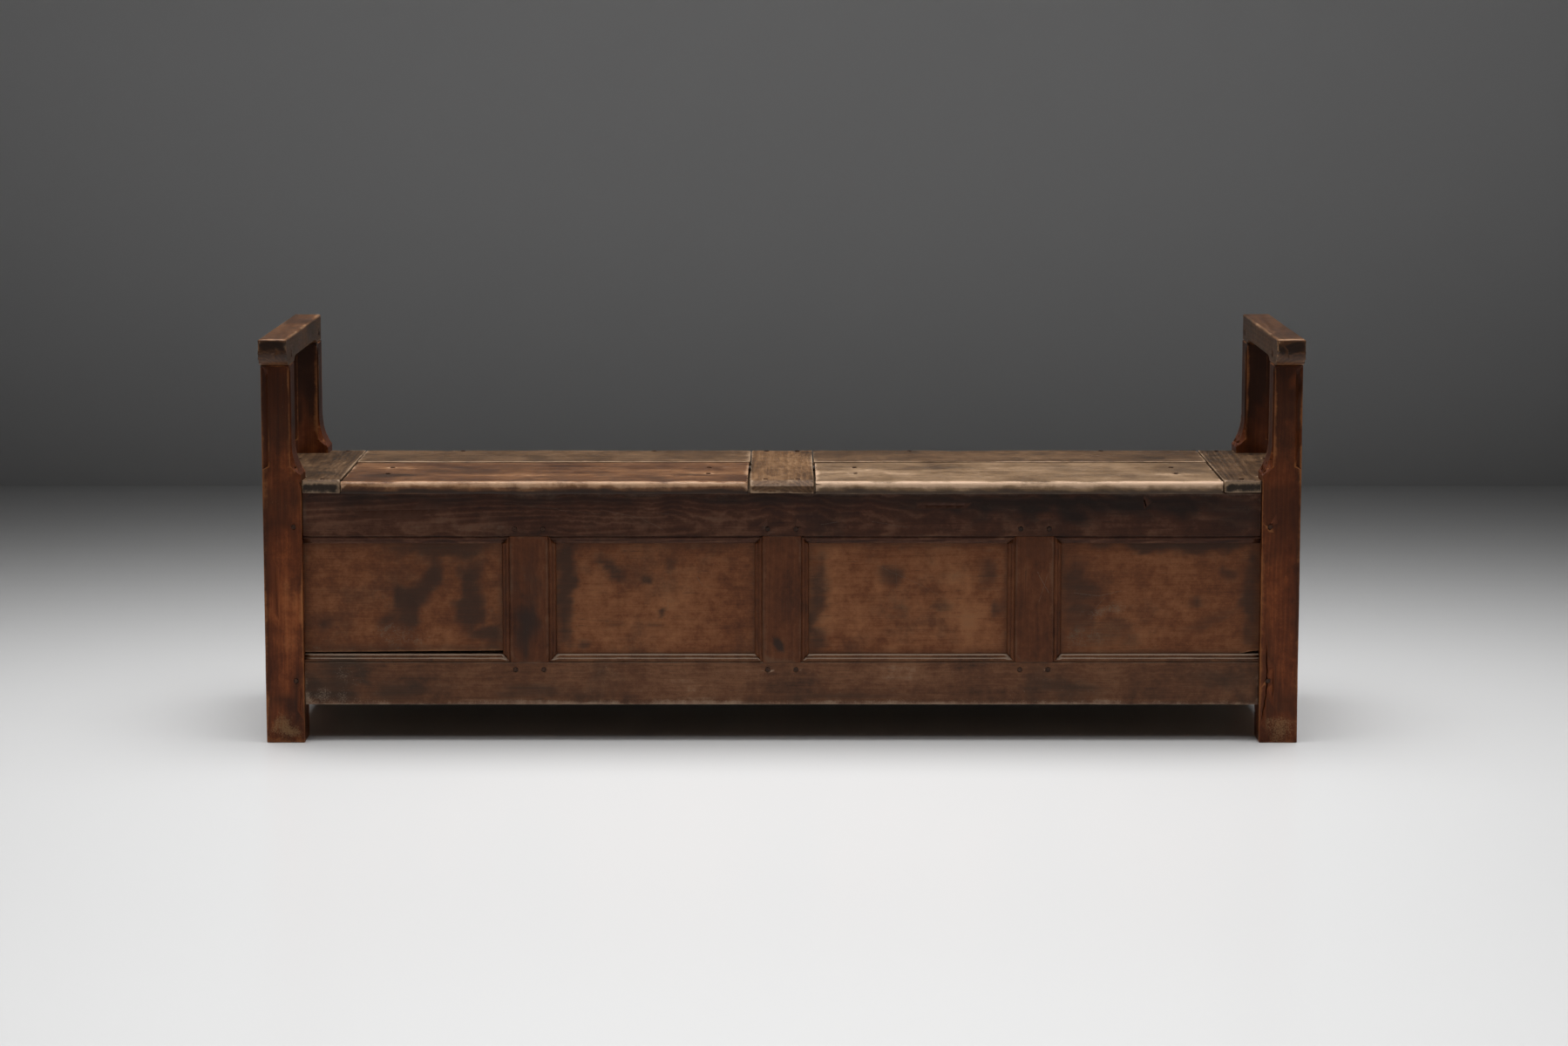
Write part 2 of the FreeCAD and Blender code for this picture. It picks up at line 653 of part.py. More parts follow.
def bearer_spans():
    """The X spans of the three cross bearers, from left to right."""
    return {"left": (-END_BEARER_OUT, -END_BEARER_IN),
            "centre": (-CENTRE_BEARER_WIDTH / 2, CENTRE_BEARER_WIDTH / 2),
            "right": (END_BEARER_IN, END_BEARER_OUT)}


def make_bearer(span):
    """A cross bearer, housed in the front and back rails."""
    shape = box(span[0], span[1], RAIL_BACK - BEARER_HOUSING, BACK_RAIL_FRONT + BEARER_HOUSING,
                BEARER_LOW, SEAT_UNDER)
    return cut_all(shape, seat_pegs())


def make_front_rails():
    """Both front rails; the top one is housed for the cross bearers and takes the seat pegs."""
    top = front_rail(TOP_RAIL_LOW, SEAT_UNDER, TOP_FLAT_LOW, -1, TOP_TENON)
    for span in bearer_spans().values():
        top = top.cut(box(span[0], span[1], RAIL_BACK - BEARER_HOUSING, RAIL_BACK, BEARER_LOW, SEAT_UNDER))
    keep("front_top_rail", cut_all(top, seat_pegs()))
    bottom = front_rail(BOTTOM_RAIL_LOW, BOTTOM_RAIL_TOP, BOTTOM_FLAT_TOP, 1, BOTTOM_TENON)
    keep("front_bottom_rail", cut_all(bottom, ledger_nails()))


def raised_panel(width, height):
    """A panel in its own frame: face at Y 0 looking to -Y, lower left corner of its edge at the origin.

    Its back is feathered down to the groove's width along all four edges.
    """
    plate = box(0, width, 0, PANEL_EDGE, 0, height)
    rim = PANEL_ENGAGE + PANEL_RIM
    inner = rim + PANEL_FEATHER

    def loop(inset, y):
        corners = [(inset, inset), (width - inset, inset),
                   (width - inset, height - inset), (inset, height - inset)]
        return [Vector(x, y, z) for x, z in corners]

    field = tapered_block(loop(rim, PANEL_EDGE), loop(inner, PANEL_EDGE + PANEL_FIELD))
    return plate.fuse(field).removeSplitter()


def wedge(corners, y0, y1):
    """A prism along Y over an outline of (x, z) corners."""
    points = [Vector(x, y0, z) for x, z in corners]
    return flat_face(points).extrude(Vector(0, y1 - y0, 0))


def make_front_panels():
    """Four panels. The first has shrunk out of the bottom rail, the fourth has lost a lower corner."""
    height = TOP_RAIL_LOW - BOTTOM_RAIL_TOP + 2 * PANEL_ENGAGE
    low = BOTTOM_RAIL_TOP - PANEL_ENGAGE
    pitch = PANEL_VIEW + MUNTIN_WIDE
    for number in range(len(MUNTIN_NAMES) + 1):
        left = -POST_IN + number * pitch
        right = left + PANEL_VIEW
        shape = raised_panel(PANEL_VIEW + 2 * PANEL_ENGAGE, height)
        shape.translate(Vector(left - PANEL_ENGAGE, GROOVE_FRONT, low))
        front = GROOVE_FRONT - CUT_OVER
        behind = GROOVE_BACK + PANEL_FIELD + CUT_OVER
        below = low - CUT_OVER
        if number == 0:
            corners = [(left - 2 * PANEL_ENGAGE, below), (right + 2 * PANEL_ENGAGE, below),
                       (right + 2 * PANEL_ENGAGE, BOTTOM_RAIL_TOP + SHRUNK_GAP_RIGHT),
                       (left - 2 * PANEL_ENGAGE, BOTTOM_RAIL_TOP + SHRUNK_GAP_LEFT)]
            shape = shape.cut(wedge(corners, front, behind))
        if number == len(MUNTIN_NAMES):
            corners = [(right - BROKEN_CORNER_WIDE, below), (right + 2 * PANEL_ENGAGE, below),
                       (right + 2 * PANEL_ENGAGE, BOTTOM_RAIL_TOP + BROKEN_CORNER_HIGH),
                       (right - BROKEN_CORNER_STEP, BOTTOM_RAIL_TOP + BROKEN_CORNER_HIGH / 2),
                       (right - BROKEN_CORNER_WIDE, BOTTOM_RAIL_TOP)]
            shape = shape.cut(wedge(corners, front, behind))
        keep("front_panel_%d" % (number + 1), shape)


def side_rail(low, high, groove_edge, way, tenon):
    """A right-hand side rail with its tenons, grooved and bevelled along its panel edge."""
    shape = box(SIDE_IN, SIDE_FACE, FRONT_POST_BACK, REAR_POST_FRONT, low, high)
    shape = shape.cut(box(SIDE_GROOVE_IN, SIDE_GROOVE_OUT, FRONT_POST_BACK, REAR_POST_FRONT,
                          groove_edge, groove_edge - way * GROOVE_DEPTH))
    bevel = [Vector(SIDE_FACE, FRONT_POST_BACK, groove_edge),
             Vector(SIDE_FACE - SIDE_CHAMFER, FRONT_POST_BACK, groove_edge),
             Vector(SIDE_FACE, FRONT_POST_BACK, groove_edge - way * SIDE_CHAMFER)]
    shape = shape.cut(flat_face(bevel).extrude(Vector(0, REAR_POST_FRONT - FRONT_POST_BACK, 0)))
    for face, out in ((FRONT_POST_BACK, -1), (REAR_POST_FRONT, 1)):
        shape = shape.fuse(box(SIDE_GROOVE_IN, SIDE_GROOVE_OUT, face, face + out * SIDE_TENON_LONG, *tenon))
    return cut_all(shape.removeSplitter(), side_pegs() + seat_pegs())


def make_side_frame():
    """Rails and panel of both ends of the chest."""
    top = side_rail(TOP_RAIL_LOW, SEAT_UNDER, TOP_RAIL_LOW, -1, TOP_TENON)
    bottom = side_rail(BOTTOM_RAIL_LOW, BOTTOM_RAIL_TOP, BOTTOM_RAIL_TOP, 1, BOTTOM_TENON)
    keep_pair("side_top_rail", top)
    keep_pair("side_bottom_rail", bottom)
    width = REAR_POST_FRONT - FRONT_POST_BACK + 2 * PANEL_ENGAGE
    height = TOP_RAIL_LOW - BOTTOM_RAIL_TOP + 2 * PANEL_ENGAGE
    panel = raised_panel(width, height)
    panel.rotate(Vector(0, 0, 0), Vector(0, 0, 1), QUARTER_TURN)
    panel.translate(Vector(SIDE_GROOVE_OUT, FRONT_POST_BACK - PANEL_ENGAGE, BOTTOM_RAIL_TOP - PANEL_ENGAGE))
    keep_pair("side_panel", panel)


def make_back():
    """The back rail, three planks in the posts' grooves and a stud inside, nailed to the planks."""
    rail = box(-POST_IN, POST_IN, BACK_RAIL_FRONT, BACK_RAIL_BACK, TOP_RAIL_LOW, SEAT_UNDER)
    groove_top = TOP_RAIL_LOW + GROOVE_DEPTH
    rail = rail.cut(box(-POST_IN, POST_IN, PLANK_FRONT, PLANK_BACK, TOP_RAIL_LOW, groove_top))
    for side in (-1, 1):
        end = side * POST_IN
        rail = rail.fuse(box(end, end + side * FRONT_TENON_LONG, BACK_TENON_FRONT,
                             BACK_TENON_FRONT + PANEL_EDGE, *TOP_TENON))
    for span in bearer_spans().values():
        rail = rail.cut(box(span[0], span[1], BACK_RAIL_FRONT, BACK_RAIL_FRONT + BEARER_HOUSING,
                            BEARER_LOW, SEAT_UNDER))
    pegs = rear_post_pegs()
    pegs += [mirrored(p) for p in pegs]
    keep("back_top_rail", cut_all(rail.removeSplitter(), pegs + seat_pegs()))
    keep("rear_frame_pegs", pegs)

    end = POST_IN + PANEL_ENGAGE
    nails = back_nails()
    lower_top = PLANK_LOW + PLANK_LOWER_HIGH
    middle_top = lower_top + PLANK_MIDDLE_HIGH
    for name, low, high in (("lower", PLANK_LOW, lower_top), ("middle", lower_top, middle_top),
                            ("upper", middle_top, TOP_RAIL_LOW + PANEL_ENGAGE)):
        plank = box(-end, end, PLANK_FRONT, PLANK_BACK, low, high)
        keep("back_plank_" + name, cut_all(plank, nails + ledger_nails()))
    half = STUD_WIDTH / 2
    stud = box(-half, half, PLANK_FRONT - STUD_THICK, PLANK_FRONT, FLOOR_TOP, TOP_RAIL_LOW)
    keep("back_stud", cut_all(stud, nails))
    keep("back_nails", nails)


def back_nails():
    """Nails through the planks into the stud, their heads on the planks' backs."""
    lower_top = PLANK_LOW + PLANK_LOWER_HIGH
    middle_top = lower_top + PLANK_MIDDLE_HIGH
    spans = ((FLOOR_TOP, lower_top), (lower_top, middle_top), (middle_top, TOP_RAIL_LOW))
    nails = []
    for low, high in spans:
        middle = (low + high) / 2
        for side in (-1, 1):
            head = Vector(side * STUD_WIDTH * QUARTER, PLANK_BACK, middle)
            nails.append(nail(head, Vector(0, -1, 0), NAIL_LONG))
    return nails


def seat_outline(x0, x1, y0, y1):
    """A seat board before its edges are worked."""
    return box(x0, x1, y0, y1, SEAT_UNDER, SEAT_TOP)


def front_bevel(x0, x1, front):
    """The cutter of the bevel along a fixed seat board's front arris."""
    before = front - CUT_OVER
    above = SEAT_TOP + CUT_OVER
    points = [Vector(x0, before, above), Vector(x0, front + SEAT_CHAMFER, above),
              Vector(x0, front + SEAT_CHAMFER, SEAT_TOP), Vector(x0, front, SEAT_TOP - SEAT_CHAMFER),
              Vector(x0, before, SEAT_TOP - SEAT_CHAMFER)]
    return flat_face(points).extrude(Vector(x1 - x0, 0, 0))


def seat_pegs():
    """Pegs that hold the fixed seat boards on the rails, both sides of the bench."""
    side_x = (SIDE_IN + SIDE_FACE) / 2
    front_y = (RAIL_FACE + RAIL_BACK) / 2
    rear_y = (BACK_RAIL_FRONT + SEAT_REAR) / 2
    inset = (REAR_POST_FRONT - FRONT_POST_BACK) * QUARTER
    places = [(side_x, FRONT_POST_BACK + inset), (side_x, REAR_POST_FRONT - inset),
              ((END_EDGE + POST_IN) / 2, front_y), ((END_EDGE + POST_IN) / 2, rear_y),
              (CENTRE_EDGE / 2, front_y), (CENTRE_EDGE / 2, rear_y)]
    inset = (LID_OUT - LID_IN) * QUARTER
    places += [(LID_IN + inset, rear_y), (LID_OUT - inset, rear_y)]
    pegs = []
    for x, y in places:
        for side in (-1, 1):
            pegs.append(peg(Vector(side * x, y, SEAT_TOP + PEG_PROUD / 2), Vector(0, 0, -1), SEAT_PEG_DEEP))
    return pegs


def pivot_pin(edge, way):
    """A forged pivot pin at a fixed board's edge: a square tang in the board, a round journal in the lid.

    way is +1 if the lid lies towards +X.
    """
    half = PIN_TANG / 2
    tang = box(edge, edge - way * PIN_IN_BOARD,
               PIVOT_Y - half, PIVOT_Y + half, PIVOT_Z - half, PIVOT_Z + half)
    journal = round_bar(Vector(edge, PIVOT_Y, PIVOT_Z), way * (LID_GAP + PIN_IN_LID), PIN_RADIUS)
    return tang.fuse(journal)


def make_seat():
    """The fixed seat boards, their bearers and pegs, and the pivot pins that the lids turn on."""
    pegs = seat_pegs()
    front = RAIL_FACE - END_BOARD_OVERHANG
    end = seat_outline(END_EDGE, SIDE_FACE + END_BOARD_OVER_SIDE, front, SEAT_REAR)
    past = SIDE_FACE + END_BOARD_OVER_SIDE + CUT_OVER
    under = SEAT_UNDER - CUT_OVER
    above = SEAT_TOP + CUT_OVER
    notch = POST_IN - NOTCH_CLEARANCE
    for y0, y1 in ((front - CUT_OVER, FRONT_POST_BACK + NOTCH_CLEARANCE),
                   (REAR_POST_FRONT - NOTCH_CLEARANCE, SEAT_REAR + CUT_OVER)):
        end = end.cut(box(notch, past, y0, y1, under, above))
    arris = stopped_chamfer(SEAT_CHAMFER, END_EDGE - 2 * SEAT_CHAMFER, CUT_OVER, POST_IN, SEAT_CHAMFER)
    end = end.cut(turned(arris, Vector(0, front, SEAT_TOP), Vector(0, 1, -1), Vector(1, 0, 0)))
    outer_pin = pivot_pin(END_EDGE, -1)
    inner_pin = pivot_pin(CENTRE_EDGE, 1)
    keep_pair("seat_end_board", cut_all(end, pegs + [outer_pin]))

    front = RAIL_FACE - CENTRE_BOARD_OVERHANG
    centre = seat_outline(-CENTRE_EDGE, CENTRE_EDGE, front, SEAT_REAR)
    centre = centre.cut(front_bevel(-CENTRE_EDGE, CENTRE_EDGE, front))
    keep("seat_centre_board", cut_all(centre, pegs + [inner_pin, mirrored(inner_pin)]))

    rear = seat_outline(CENTRE_EDGE + BOARD_GAP, END_EDGE - BOARD_GAP, REAR_BOARD_FRONT, SEAT_REAR)
    keep_pair("seat_rear_board", cut_all(rear, pegs))
    for name, span in bearer_spans().items():
        keep("seat_bearer_" + name, make_bearer(span))
    keep("seat_pegs", pegs)
    keep_pair("pivot_pins", [outer_pin, inner_pin])


def batten_spans():
    """The X spans of the two battens under the right-hand lid."""
    return {"outer": (LID_OUT - BATTEN_INSET - BATTEN_WIDTH, LID_OUT - BATTEN_INSET),
            "inner": (LID_IN + BATTEN_INSET, LID_IN + BATTEN_INSET + BATTEN_WIDTH)}


def lid_pegs():
    """Pegs through the right-hand lid into its battens, two in each."""
    front = LID_FRONT + BATTEN_FROM_FRONT
    back = PIVOT_Y - BATTEN_FROM_PIVOT
    pegs = []
    for low, high in batten_spans().values():
        for share in (QUARTER, 1 - QUARTER):
            y = front + (back - front) * share
            top = SEAT_TOP + PEG_PROUD / 2
            pegs.append(peg(Vector((low + high) / 2, y, top), Vector(0, 0, -1), LID_PEG_DEEP))
    return pegs


def make_lids():
    """Both lids: a board with a round nose and a round rear edge, two battens, pegs and pin bores."""
    half = SEAT_BOARD / 2
    pegs = lid_pegs()
    turn = math.sqrt(0.5)

    def place(y, z):
        return Vector(LID_IN, y, z)

    top = LID_TOP_ROUND
    low = LID_LOW_ROUND
    edges = [line(place(LID_FRONT + top, SEAT_TOP), place(PIVOT_Y, SEAT_TOP)),
             Part.Arc(place(PIVOT_Y, SEAT_TOP), place(PIVOT_Y + half, PIVOT_Z),
                      place(PIVOT_Y, SEAT_UNDER)).toShape(),
             line(place(PIVOT_Y, SEAT_UNDER), place(LID_FRONT + low, SEAT_UNDER)),
             Part.Arc(place(LID_FRONT + low, SEAT_UNDER),
                      place(LID_FRONT + low * (1 - turn), SEAT_UNDER + low * (1 - turn)),
                      place(LID_FRONT, SEAT_UNDER + low)).toShape(),
             line(place(LID_FRONT, SEAT_UNDER + low), place(LID_FRONT, SEAT_TOP - top)),
             Part.Arc(place(LID_FRONT, SEAT_TOP - top),
                      place(LID_FRONT + top * (1 - turn), SEAT_TOP - top * (1 - turn)),
                      place(LID_FRONT + top, SEAT_TOP)).toShape()]
    board = Part.Face(Part.Wire(edges)).extrude(Vector(LID_OUT - LID_IN, 0, 0))
    bore = PIN_RADIUS + PIN_CLEARANCE
    deep = PIN_IN_LID + PIN_END_SLACK
    board = board.cut(round_bar(Vector(LID_IN, PIVOT_Y, PIVOT_Z), deep, bore))
    board = board.cut(round_bar(Vector(LID_OUT, PIVOT_Y, PIVOT_Z), -deep, bore))
    board = cut_all(board, pegs)
    front = LID_FRONT + BATTEN_FROM_FRONT
    back = PIVOT_Y - BATTEN_FROM_PIVOT
    floor = SEAT_UNDER - BATTEN_THICK
    keep("lid_right_board", board)
    keep("lid_left_board", mirrored(board))
    keep("lid_right_pegs", pegs)
    keep("lid_left_pegs", [mirrored(p) for p in pegs])
    for name, span in batten_spans().items():
        outline = ((front, SEAT_UNDER), (back, SEAT_UNDER),
                   (back, floor + BATTEN_BEVEL), (back - BATTEN_BEVEL, floor),
                   (front + BATTEN_BEVEL, floor), (front, floor + BATTEN_BEVEL))
        points = [Vector(span[0], y, z) for y, z in outline]
        batten = cut_all(flat_face(points).extrude(Vector(BATTEN_WIDTH, 0, 0)), pegs)
        keep("lid_right_batten_" + name, batten)
        keep("lid_left_batten_" + name, mirrored(batten))


def ledger_places():
    """The X places of the nails along each floor ledger, midway between the muntins and posts."""
    pitch = PANEL_VIEW + MUNTIN_WIDE
    return [-POST_IN + PANEL_VIEW / 2 + number * pitch for number in range(len(MUNTIN_NAMES) + 1)]


def ledger_nails():
    """Nails that hold the floor ledgers to the front bottom rail and to the lower back plank."""
    front_z = (FRONT_LEDGER_LOW + FLOOR_UNDER) / 2
    rear_z = (REAR_LEDGER_LOW + FLOOR_UNDER) / 2
    nails = []
    for x in ledger_places():
        nails.append(nail(Vector(x, RAIL_BACK + LEDGER_DEEP, front_z), Vector(0, -1, 0), NAIL_LONG))
        nails.append(nail(Vector(x, PLANK_FRONT - LEDGER_DEEP, rear_z), Vector(0, 1, 0), NAIL_LONG))
    return nails


def floor_nails():
    """Brads of the floor boards, two over each ledger in every board."""
    wide = 2 * POST_IN / FLOOR_BOARDS
    nails = []
    for number in range(FLOOR_BOARDS):
        middle = -POST_IN + (number + 0.5) * wide
        for side in (-1, 1):
            for y in (RAIL_BACK + LEDGER_DEEP / 2, PLANK_FRONT - LEDGER_DEEP / 2):
                head = Vector(middle + side * wide * BRAD_SHARE, y, FLOOR_TOP)
                nails.append(brad(head, Vector(0, 0, -1), NAIL_LONG))
    return nails


def make_floor():
    """Two ledgers and six boards from front to back; the end boards are notched round the posts."""
    across = ledger_nails()
    down = floor_nails()
    front = box(-POST_IN, POST_IN, RAIL_BACK, RAIL_BACK + LEDGER_DEEP, FRONT_LEDGER_LOW, FLOOR_UNDER)
    rear = box(-POST_IN, POST_IN, PLANK_FRONT - LEDGER_DEEP, PLANK_FRONT, REAR_LEDGER_LOW, FLOOR_UNDER)
    keep("floor_ledger_front", cut_all(front, across + down))
    keep("floor_ledger_rear", cut_all(rear, across + down))
    wide = 2 * POST_IN / FLOOR_BOARDS
    for number in range(FLOOR_BOARDS):
        left = -POST_IN + number * wide
        right = left + wide
        board = box(left, right, RAIL_BACK, PLANK_FRONT, FLOOR_UNDER, FLOOR_TOP)
        between = (FRONT_POST_BACK + NOTCH_CLEARANCE, REAR_POST_FRONT - NOTCH_CLEARANCE)
        if number == 0:
            board = board.fuse(box(-SIDE_IN, left, *between, FLOOR_UNDER, FLOOR_TOP)).removeSplitter()
        if number == FLOOR_BOARDS - 1:
            board = board.fuse(box(right, SIDE_IN, *between, FLOOR_UNDER, FLOOR_TOP)).removeSplitter()
        keep("floor_board_%d" % (number + 1), cut_all(board, down))
    keep("floor_nails", across + down)


def make_frame():
    """Posts, arm rails, front rails, muntins and the pegs that lock their joints."""
    keep_pair("front_post", make_front_post())
    keep_pair("rear_post", make_rear_post())
    keep_pair("arm_rail", make_arm_rail())
    make_front_rails()
    for name, middle in zip(MUNTIN_NAMES, MUNTIN_PLACES):
        keep("front_muntin_" + name, make_muntin(middle))
    pegs = front_post_pegs()
    keep("front_frame_pegs", pegs + [mirrored(p) for p in pegs] + muntin_pegs())
    pegs = side_pegs()
    keep("side_frame_pegs", pegs + [mirrored(p) for p in pegs])
    pegs = arm_pegs()
    keep("arm_pegs", pegs + [mirrored(p) for p in pegs])


def write_parts():
    """Writes one STEP file for each node."""
    os.makedirs("parts", exist_ok=True)
    for name, shape in sorted(PARTS.items()):
        if not shape.isValid():
            print("not valid:", name)
        shape.exportStep("parts/" + name + ".step")
    print(len(PARTS), "nodes,", sum(len(s.Solids) for s in PARTS.values()), "solids")


make_frame()
make_front_panels()
make_side_frame()
make_back()
make_seat()
make_lids()
make_floor()
write_parts()
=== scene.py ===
"""The looks of an old joined oak settle bench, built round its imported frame.

Every board is a worn copy of its solid: arrises rounded by use, faces left uneven by
hand tools, splits and worm-eaten corners cut as real shapes. Pegs and nails come from
one Geometry Nodes tree each. Lengths are in metres, +X is to the right seen from the
front, -Y is the front and +Z is up.
"""

from __future__ import annotations

import json
import logging
import math
import random
from dataclasses import dataclass, field, replace
from enum import Enum
from typing import Any, Iterable, Mapping, Sequence

import bmesh
import bpy
import numpy as np
from mathutils import Matrix, Vector, noise
from mathutils.kdtree import KDTree

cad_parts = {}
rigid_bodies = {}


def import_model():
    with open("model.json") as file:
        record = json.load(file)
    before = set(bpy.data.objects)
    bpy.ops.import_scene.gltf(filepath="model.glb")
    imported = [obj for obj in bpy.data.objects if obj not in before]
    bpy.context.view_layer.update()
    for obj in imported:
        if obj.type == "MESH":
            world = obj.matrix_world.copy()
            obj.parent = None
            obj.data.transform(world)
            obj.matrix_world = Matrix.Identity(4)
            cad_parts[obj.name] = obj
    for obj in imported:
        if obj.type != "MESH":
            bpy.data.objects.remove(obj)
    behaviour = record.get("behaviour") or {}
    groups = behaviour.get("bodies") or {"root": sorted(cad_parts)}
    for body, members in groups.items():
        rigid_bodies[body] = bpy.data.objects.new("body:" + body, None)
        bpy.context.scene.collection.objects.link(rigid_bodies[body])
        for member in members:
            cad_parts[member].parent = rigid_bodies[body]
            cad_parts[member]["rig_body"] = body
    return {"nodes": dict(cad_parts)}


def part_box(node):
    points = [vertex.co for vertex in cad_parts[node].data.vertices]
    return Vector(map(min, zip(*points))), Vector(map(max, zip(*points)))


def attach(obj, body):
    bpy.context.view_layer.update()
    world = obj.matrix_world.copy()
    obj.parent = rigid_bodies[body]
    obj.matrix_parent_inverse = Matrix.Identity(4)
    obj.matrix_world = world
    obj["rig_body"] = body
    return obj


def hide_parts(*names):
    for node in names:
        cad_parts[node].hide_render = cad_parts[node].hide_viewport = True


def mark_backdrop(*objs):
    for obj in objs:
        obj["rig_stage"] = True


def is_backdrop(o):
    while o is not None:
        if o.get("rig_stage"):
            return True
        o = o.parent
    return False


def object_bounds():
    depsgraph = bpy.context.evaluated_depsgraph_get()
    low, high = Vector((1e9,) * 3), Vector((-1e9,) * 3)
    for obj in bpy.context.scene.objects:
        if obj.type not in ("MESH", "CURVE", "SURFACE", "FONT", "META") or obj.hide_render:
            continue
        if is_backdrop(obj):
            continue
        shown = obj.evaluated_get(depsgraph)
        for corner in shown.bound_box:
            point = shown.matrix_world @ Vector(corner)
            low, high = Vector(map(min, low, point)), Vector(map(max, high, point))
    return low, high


LOG = logging.getLogger("settle_bench")
Colour = tuple[float, float, float]
MM = 0.001

# Where the photograph's columns and rows lie on the panels' plane
PHOTO_MIDDLE = 897.0
PHOTO_SCALE = 623.9
PHOTO_EYE = 1.460
PHOTO_RISE = 58.0


class Grain(Enum):
    """The axis that a board's fibres run along."""

    X = 0
    Y = 1
    Z = 2


class Figure(Enum):
    """How a board was sawn, and so the figure on its face."""

    STRAIGHT = 0.015
    CATHEDRAL = 0.075


# Shader maths and nodes


class Signal:
    """A value that varies over a surface: one socket with Python's operators."""

    def __init__(self, sheet: "NodeSheet", socket: bpy.types.NodeSocket) -> None:
        """Wraps a socket of a sheet of nodes."""
        self.sheet = sheet
        self.socket = socket

    def _maths(self, operation: str, *values: Any) -> "Signal":
        """Adds a Math node over the given values."""
        node = self.sheet.add("ShaderNodeMath", {"operation": operation}, dict(enumerate(values)))
        return Signal(self.sheet, node.outputs[0])

    def __add__(self, other: Any) -> "Signal":
        """self + other."""
        return self._maths("ADD", self, other)

    def __radd__(self, other: Any) -> "Signal":
        """other + self."""
        return self._maths("ADD", other, self)

    def __sub__(self, other: Any) -> "Signal":
        """self - other."""
        return self._maths("SUBTRACT", self, other)

    def __rsub__(self, other: Any) -> "Signal":
        """other - self."""
        return self._maths("SUBTRACT", other, self)

    def __mul__(self, other: Any) -> "Signal":
        """self * other."""
        return self._maths("MULTIPLY", self, other)

    def __rmul__(self, other: Any) -> "Signal":
        """other * self."""
        return self._maths("MULTIPLY", other, self)

    def __truediv__(self, other: Any) -> "Signal":
        """self / other."""
        return self._maths("DIVIDE", self, other)

    def __pow__(self, other: Any) -> "Signal":
        """self to the power of other."""
        return self._maths("POWER", self, other)

    def sine(self) -> "Signal":
        """The sine of the value."""
        return self._maths("SINE", self)

    def size(self) -> "Signal":
        """The value without its sign."""
        return self._maths("ABSOLUTE", self)

    def larger(self, other: Any) -> "Signal":
        """The larger of the two values."""
        return self._maths("MAXIMUM", self, other)

    def clamped(self) -> "Signal":
        """The value held between 0 and 1."""
        return Signal(self.sheet, self.sheet.add("ShaderNodeClamp", {}, {0: self}).outputs[0])

    def step(self, low: float, high: float) -> "Signal":
        """A soft step from 0 at low to 1 at high; it falls where low is above high."""
        settings = {"interpolation_type": "SMOOTHSTEP"}
        ends = (0.0, 1.0) if low < high else (1.0, 0.0)
        inputs = {0: self, 1: min(low, high), 2: max(low, high), 3: ends[0], 4: ends[1]}
        node = self.sheet.add("ShaderNodeMapRange", settings, inputs)
        return Signal(self.sheet, node.outputs[0])


class NodeSheet:
    """The nodes of one tree, all made by one method."""

    def __init__(self, tree: bpy.types.NodeTree) -> None:
        """Empties the tree and works in it."""
        self.tree = tree
        tree.nodes.clear()

    def add(
        self,
        kind: str,
        settings: Mapping[str, Any] | None = None,
        inputs: Mapping[int | str, Any] | None = None,
    ) -> bpy.types.Node:
        """Makes any node.

        Args:
            kind: the node's type name.
            settings: its properties, set first; "stops" gives a ramp's places and colours.
            inputs: values or links for its sockets, by number or name.

        Returns:
            The new node.
        """
        node = self.tree.nodes.new(kind)
        for name, value in (settings or {}).items():
            if name == "stops":
                elements = node.color_ramp.elements
                while len(elements) < len(value):
                    elements.new(1.0)
                for element, (place, colour) in zip(elements, value):
                    element.position = place
                    element.color = (*colour, 1.0)
            else:
                setattr(node, name, value)
        for key, value in (inputs or {}).items():
            socket = node.inputs[key]
            if isinstance(value, Signal):
                value = value.socket
            if isinstance(value, bpy.types.NodeSocket):
                self.tree.links.new(value, socket)
            elif isinstance(value, tuple) and len(value) == 3 and socket.type == "RGBA":
                socket.default_value = (*value, 1.0)
            else:
                socket.default_value = value
        return node

    def signal(self, kind: str, settings: Mapping[str, Any], inputs: Mapping[int | str, Any]) -> Signal:
        """The first output of a new node as a signal."""
        return Signal(self, self.add(kind, settings, inputs).outputs[0])

    def attribute(self, name: str) -> Signal:
        """A number that the mesh carries at its vertices."""
        return Signal(self, self.add("ShaderNodeAttribute", {"attribute_name": name}).outputs["Fac"])

    def mix(self, share: Any, first: Any, second: Any, blend: str = "MIX") -> bpy.types.NodeSocket:
        """A colour between two others.

        Args:
            share: how much of the second, from 0 to 1.
            first: a colour or a colour socket.
            second: the same.
            blend: the Mix node's blend type.

        Returns:
            The mixed colour's socket.
        """
        settings = {"data_type": "RGBA", "blend_type": blend, "clamp_factor": True}
        return self.add("ShaderNodeMix", settings, {0: share, 6: first, 7: second}).outputs[2]

    def patches(self, place: Any, scale: float, detail: float = 4.0, rough: float = 0.55) -> Signal:
        """Noise in patches about 1/scale metres wide, from 0 to 1."""
        inputs = {"Vector": place, "Scale": scale, "Detail": detail, "Roughness": rough}
        return self.signal("ShaderNodeTexNoise", {}, inputs)


# Finishes


@dataclass(frozen=True)
class Scratch:
    """A pale scratch on the front, from one place (x, z) to another."""

    start: tuple[float, float]
    end: tuple[float, float]
    width: float = 0.5 * MM
    strength: float = 0.5


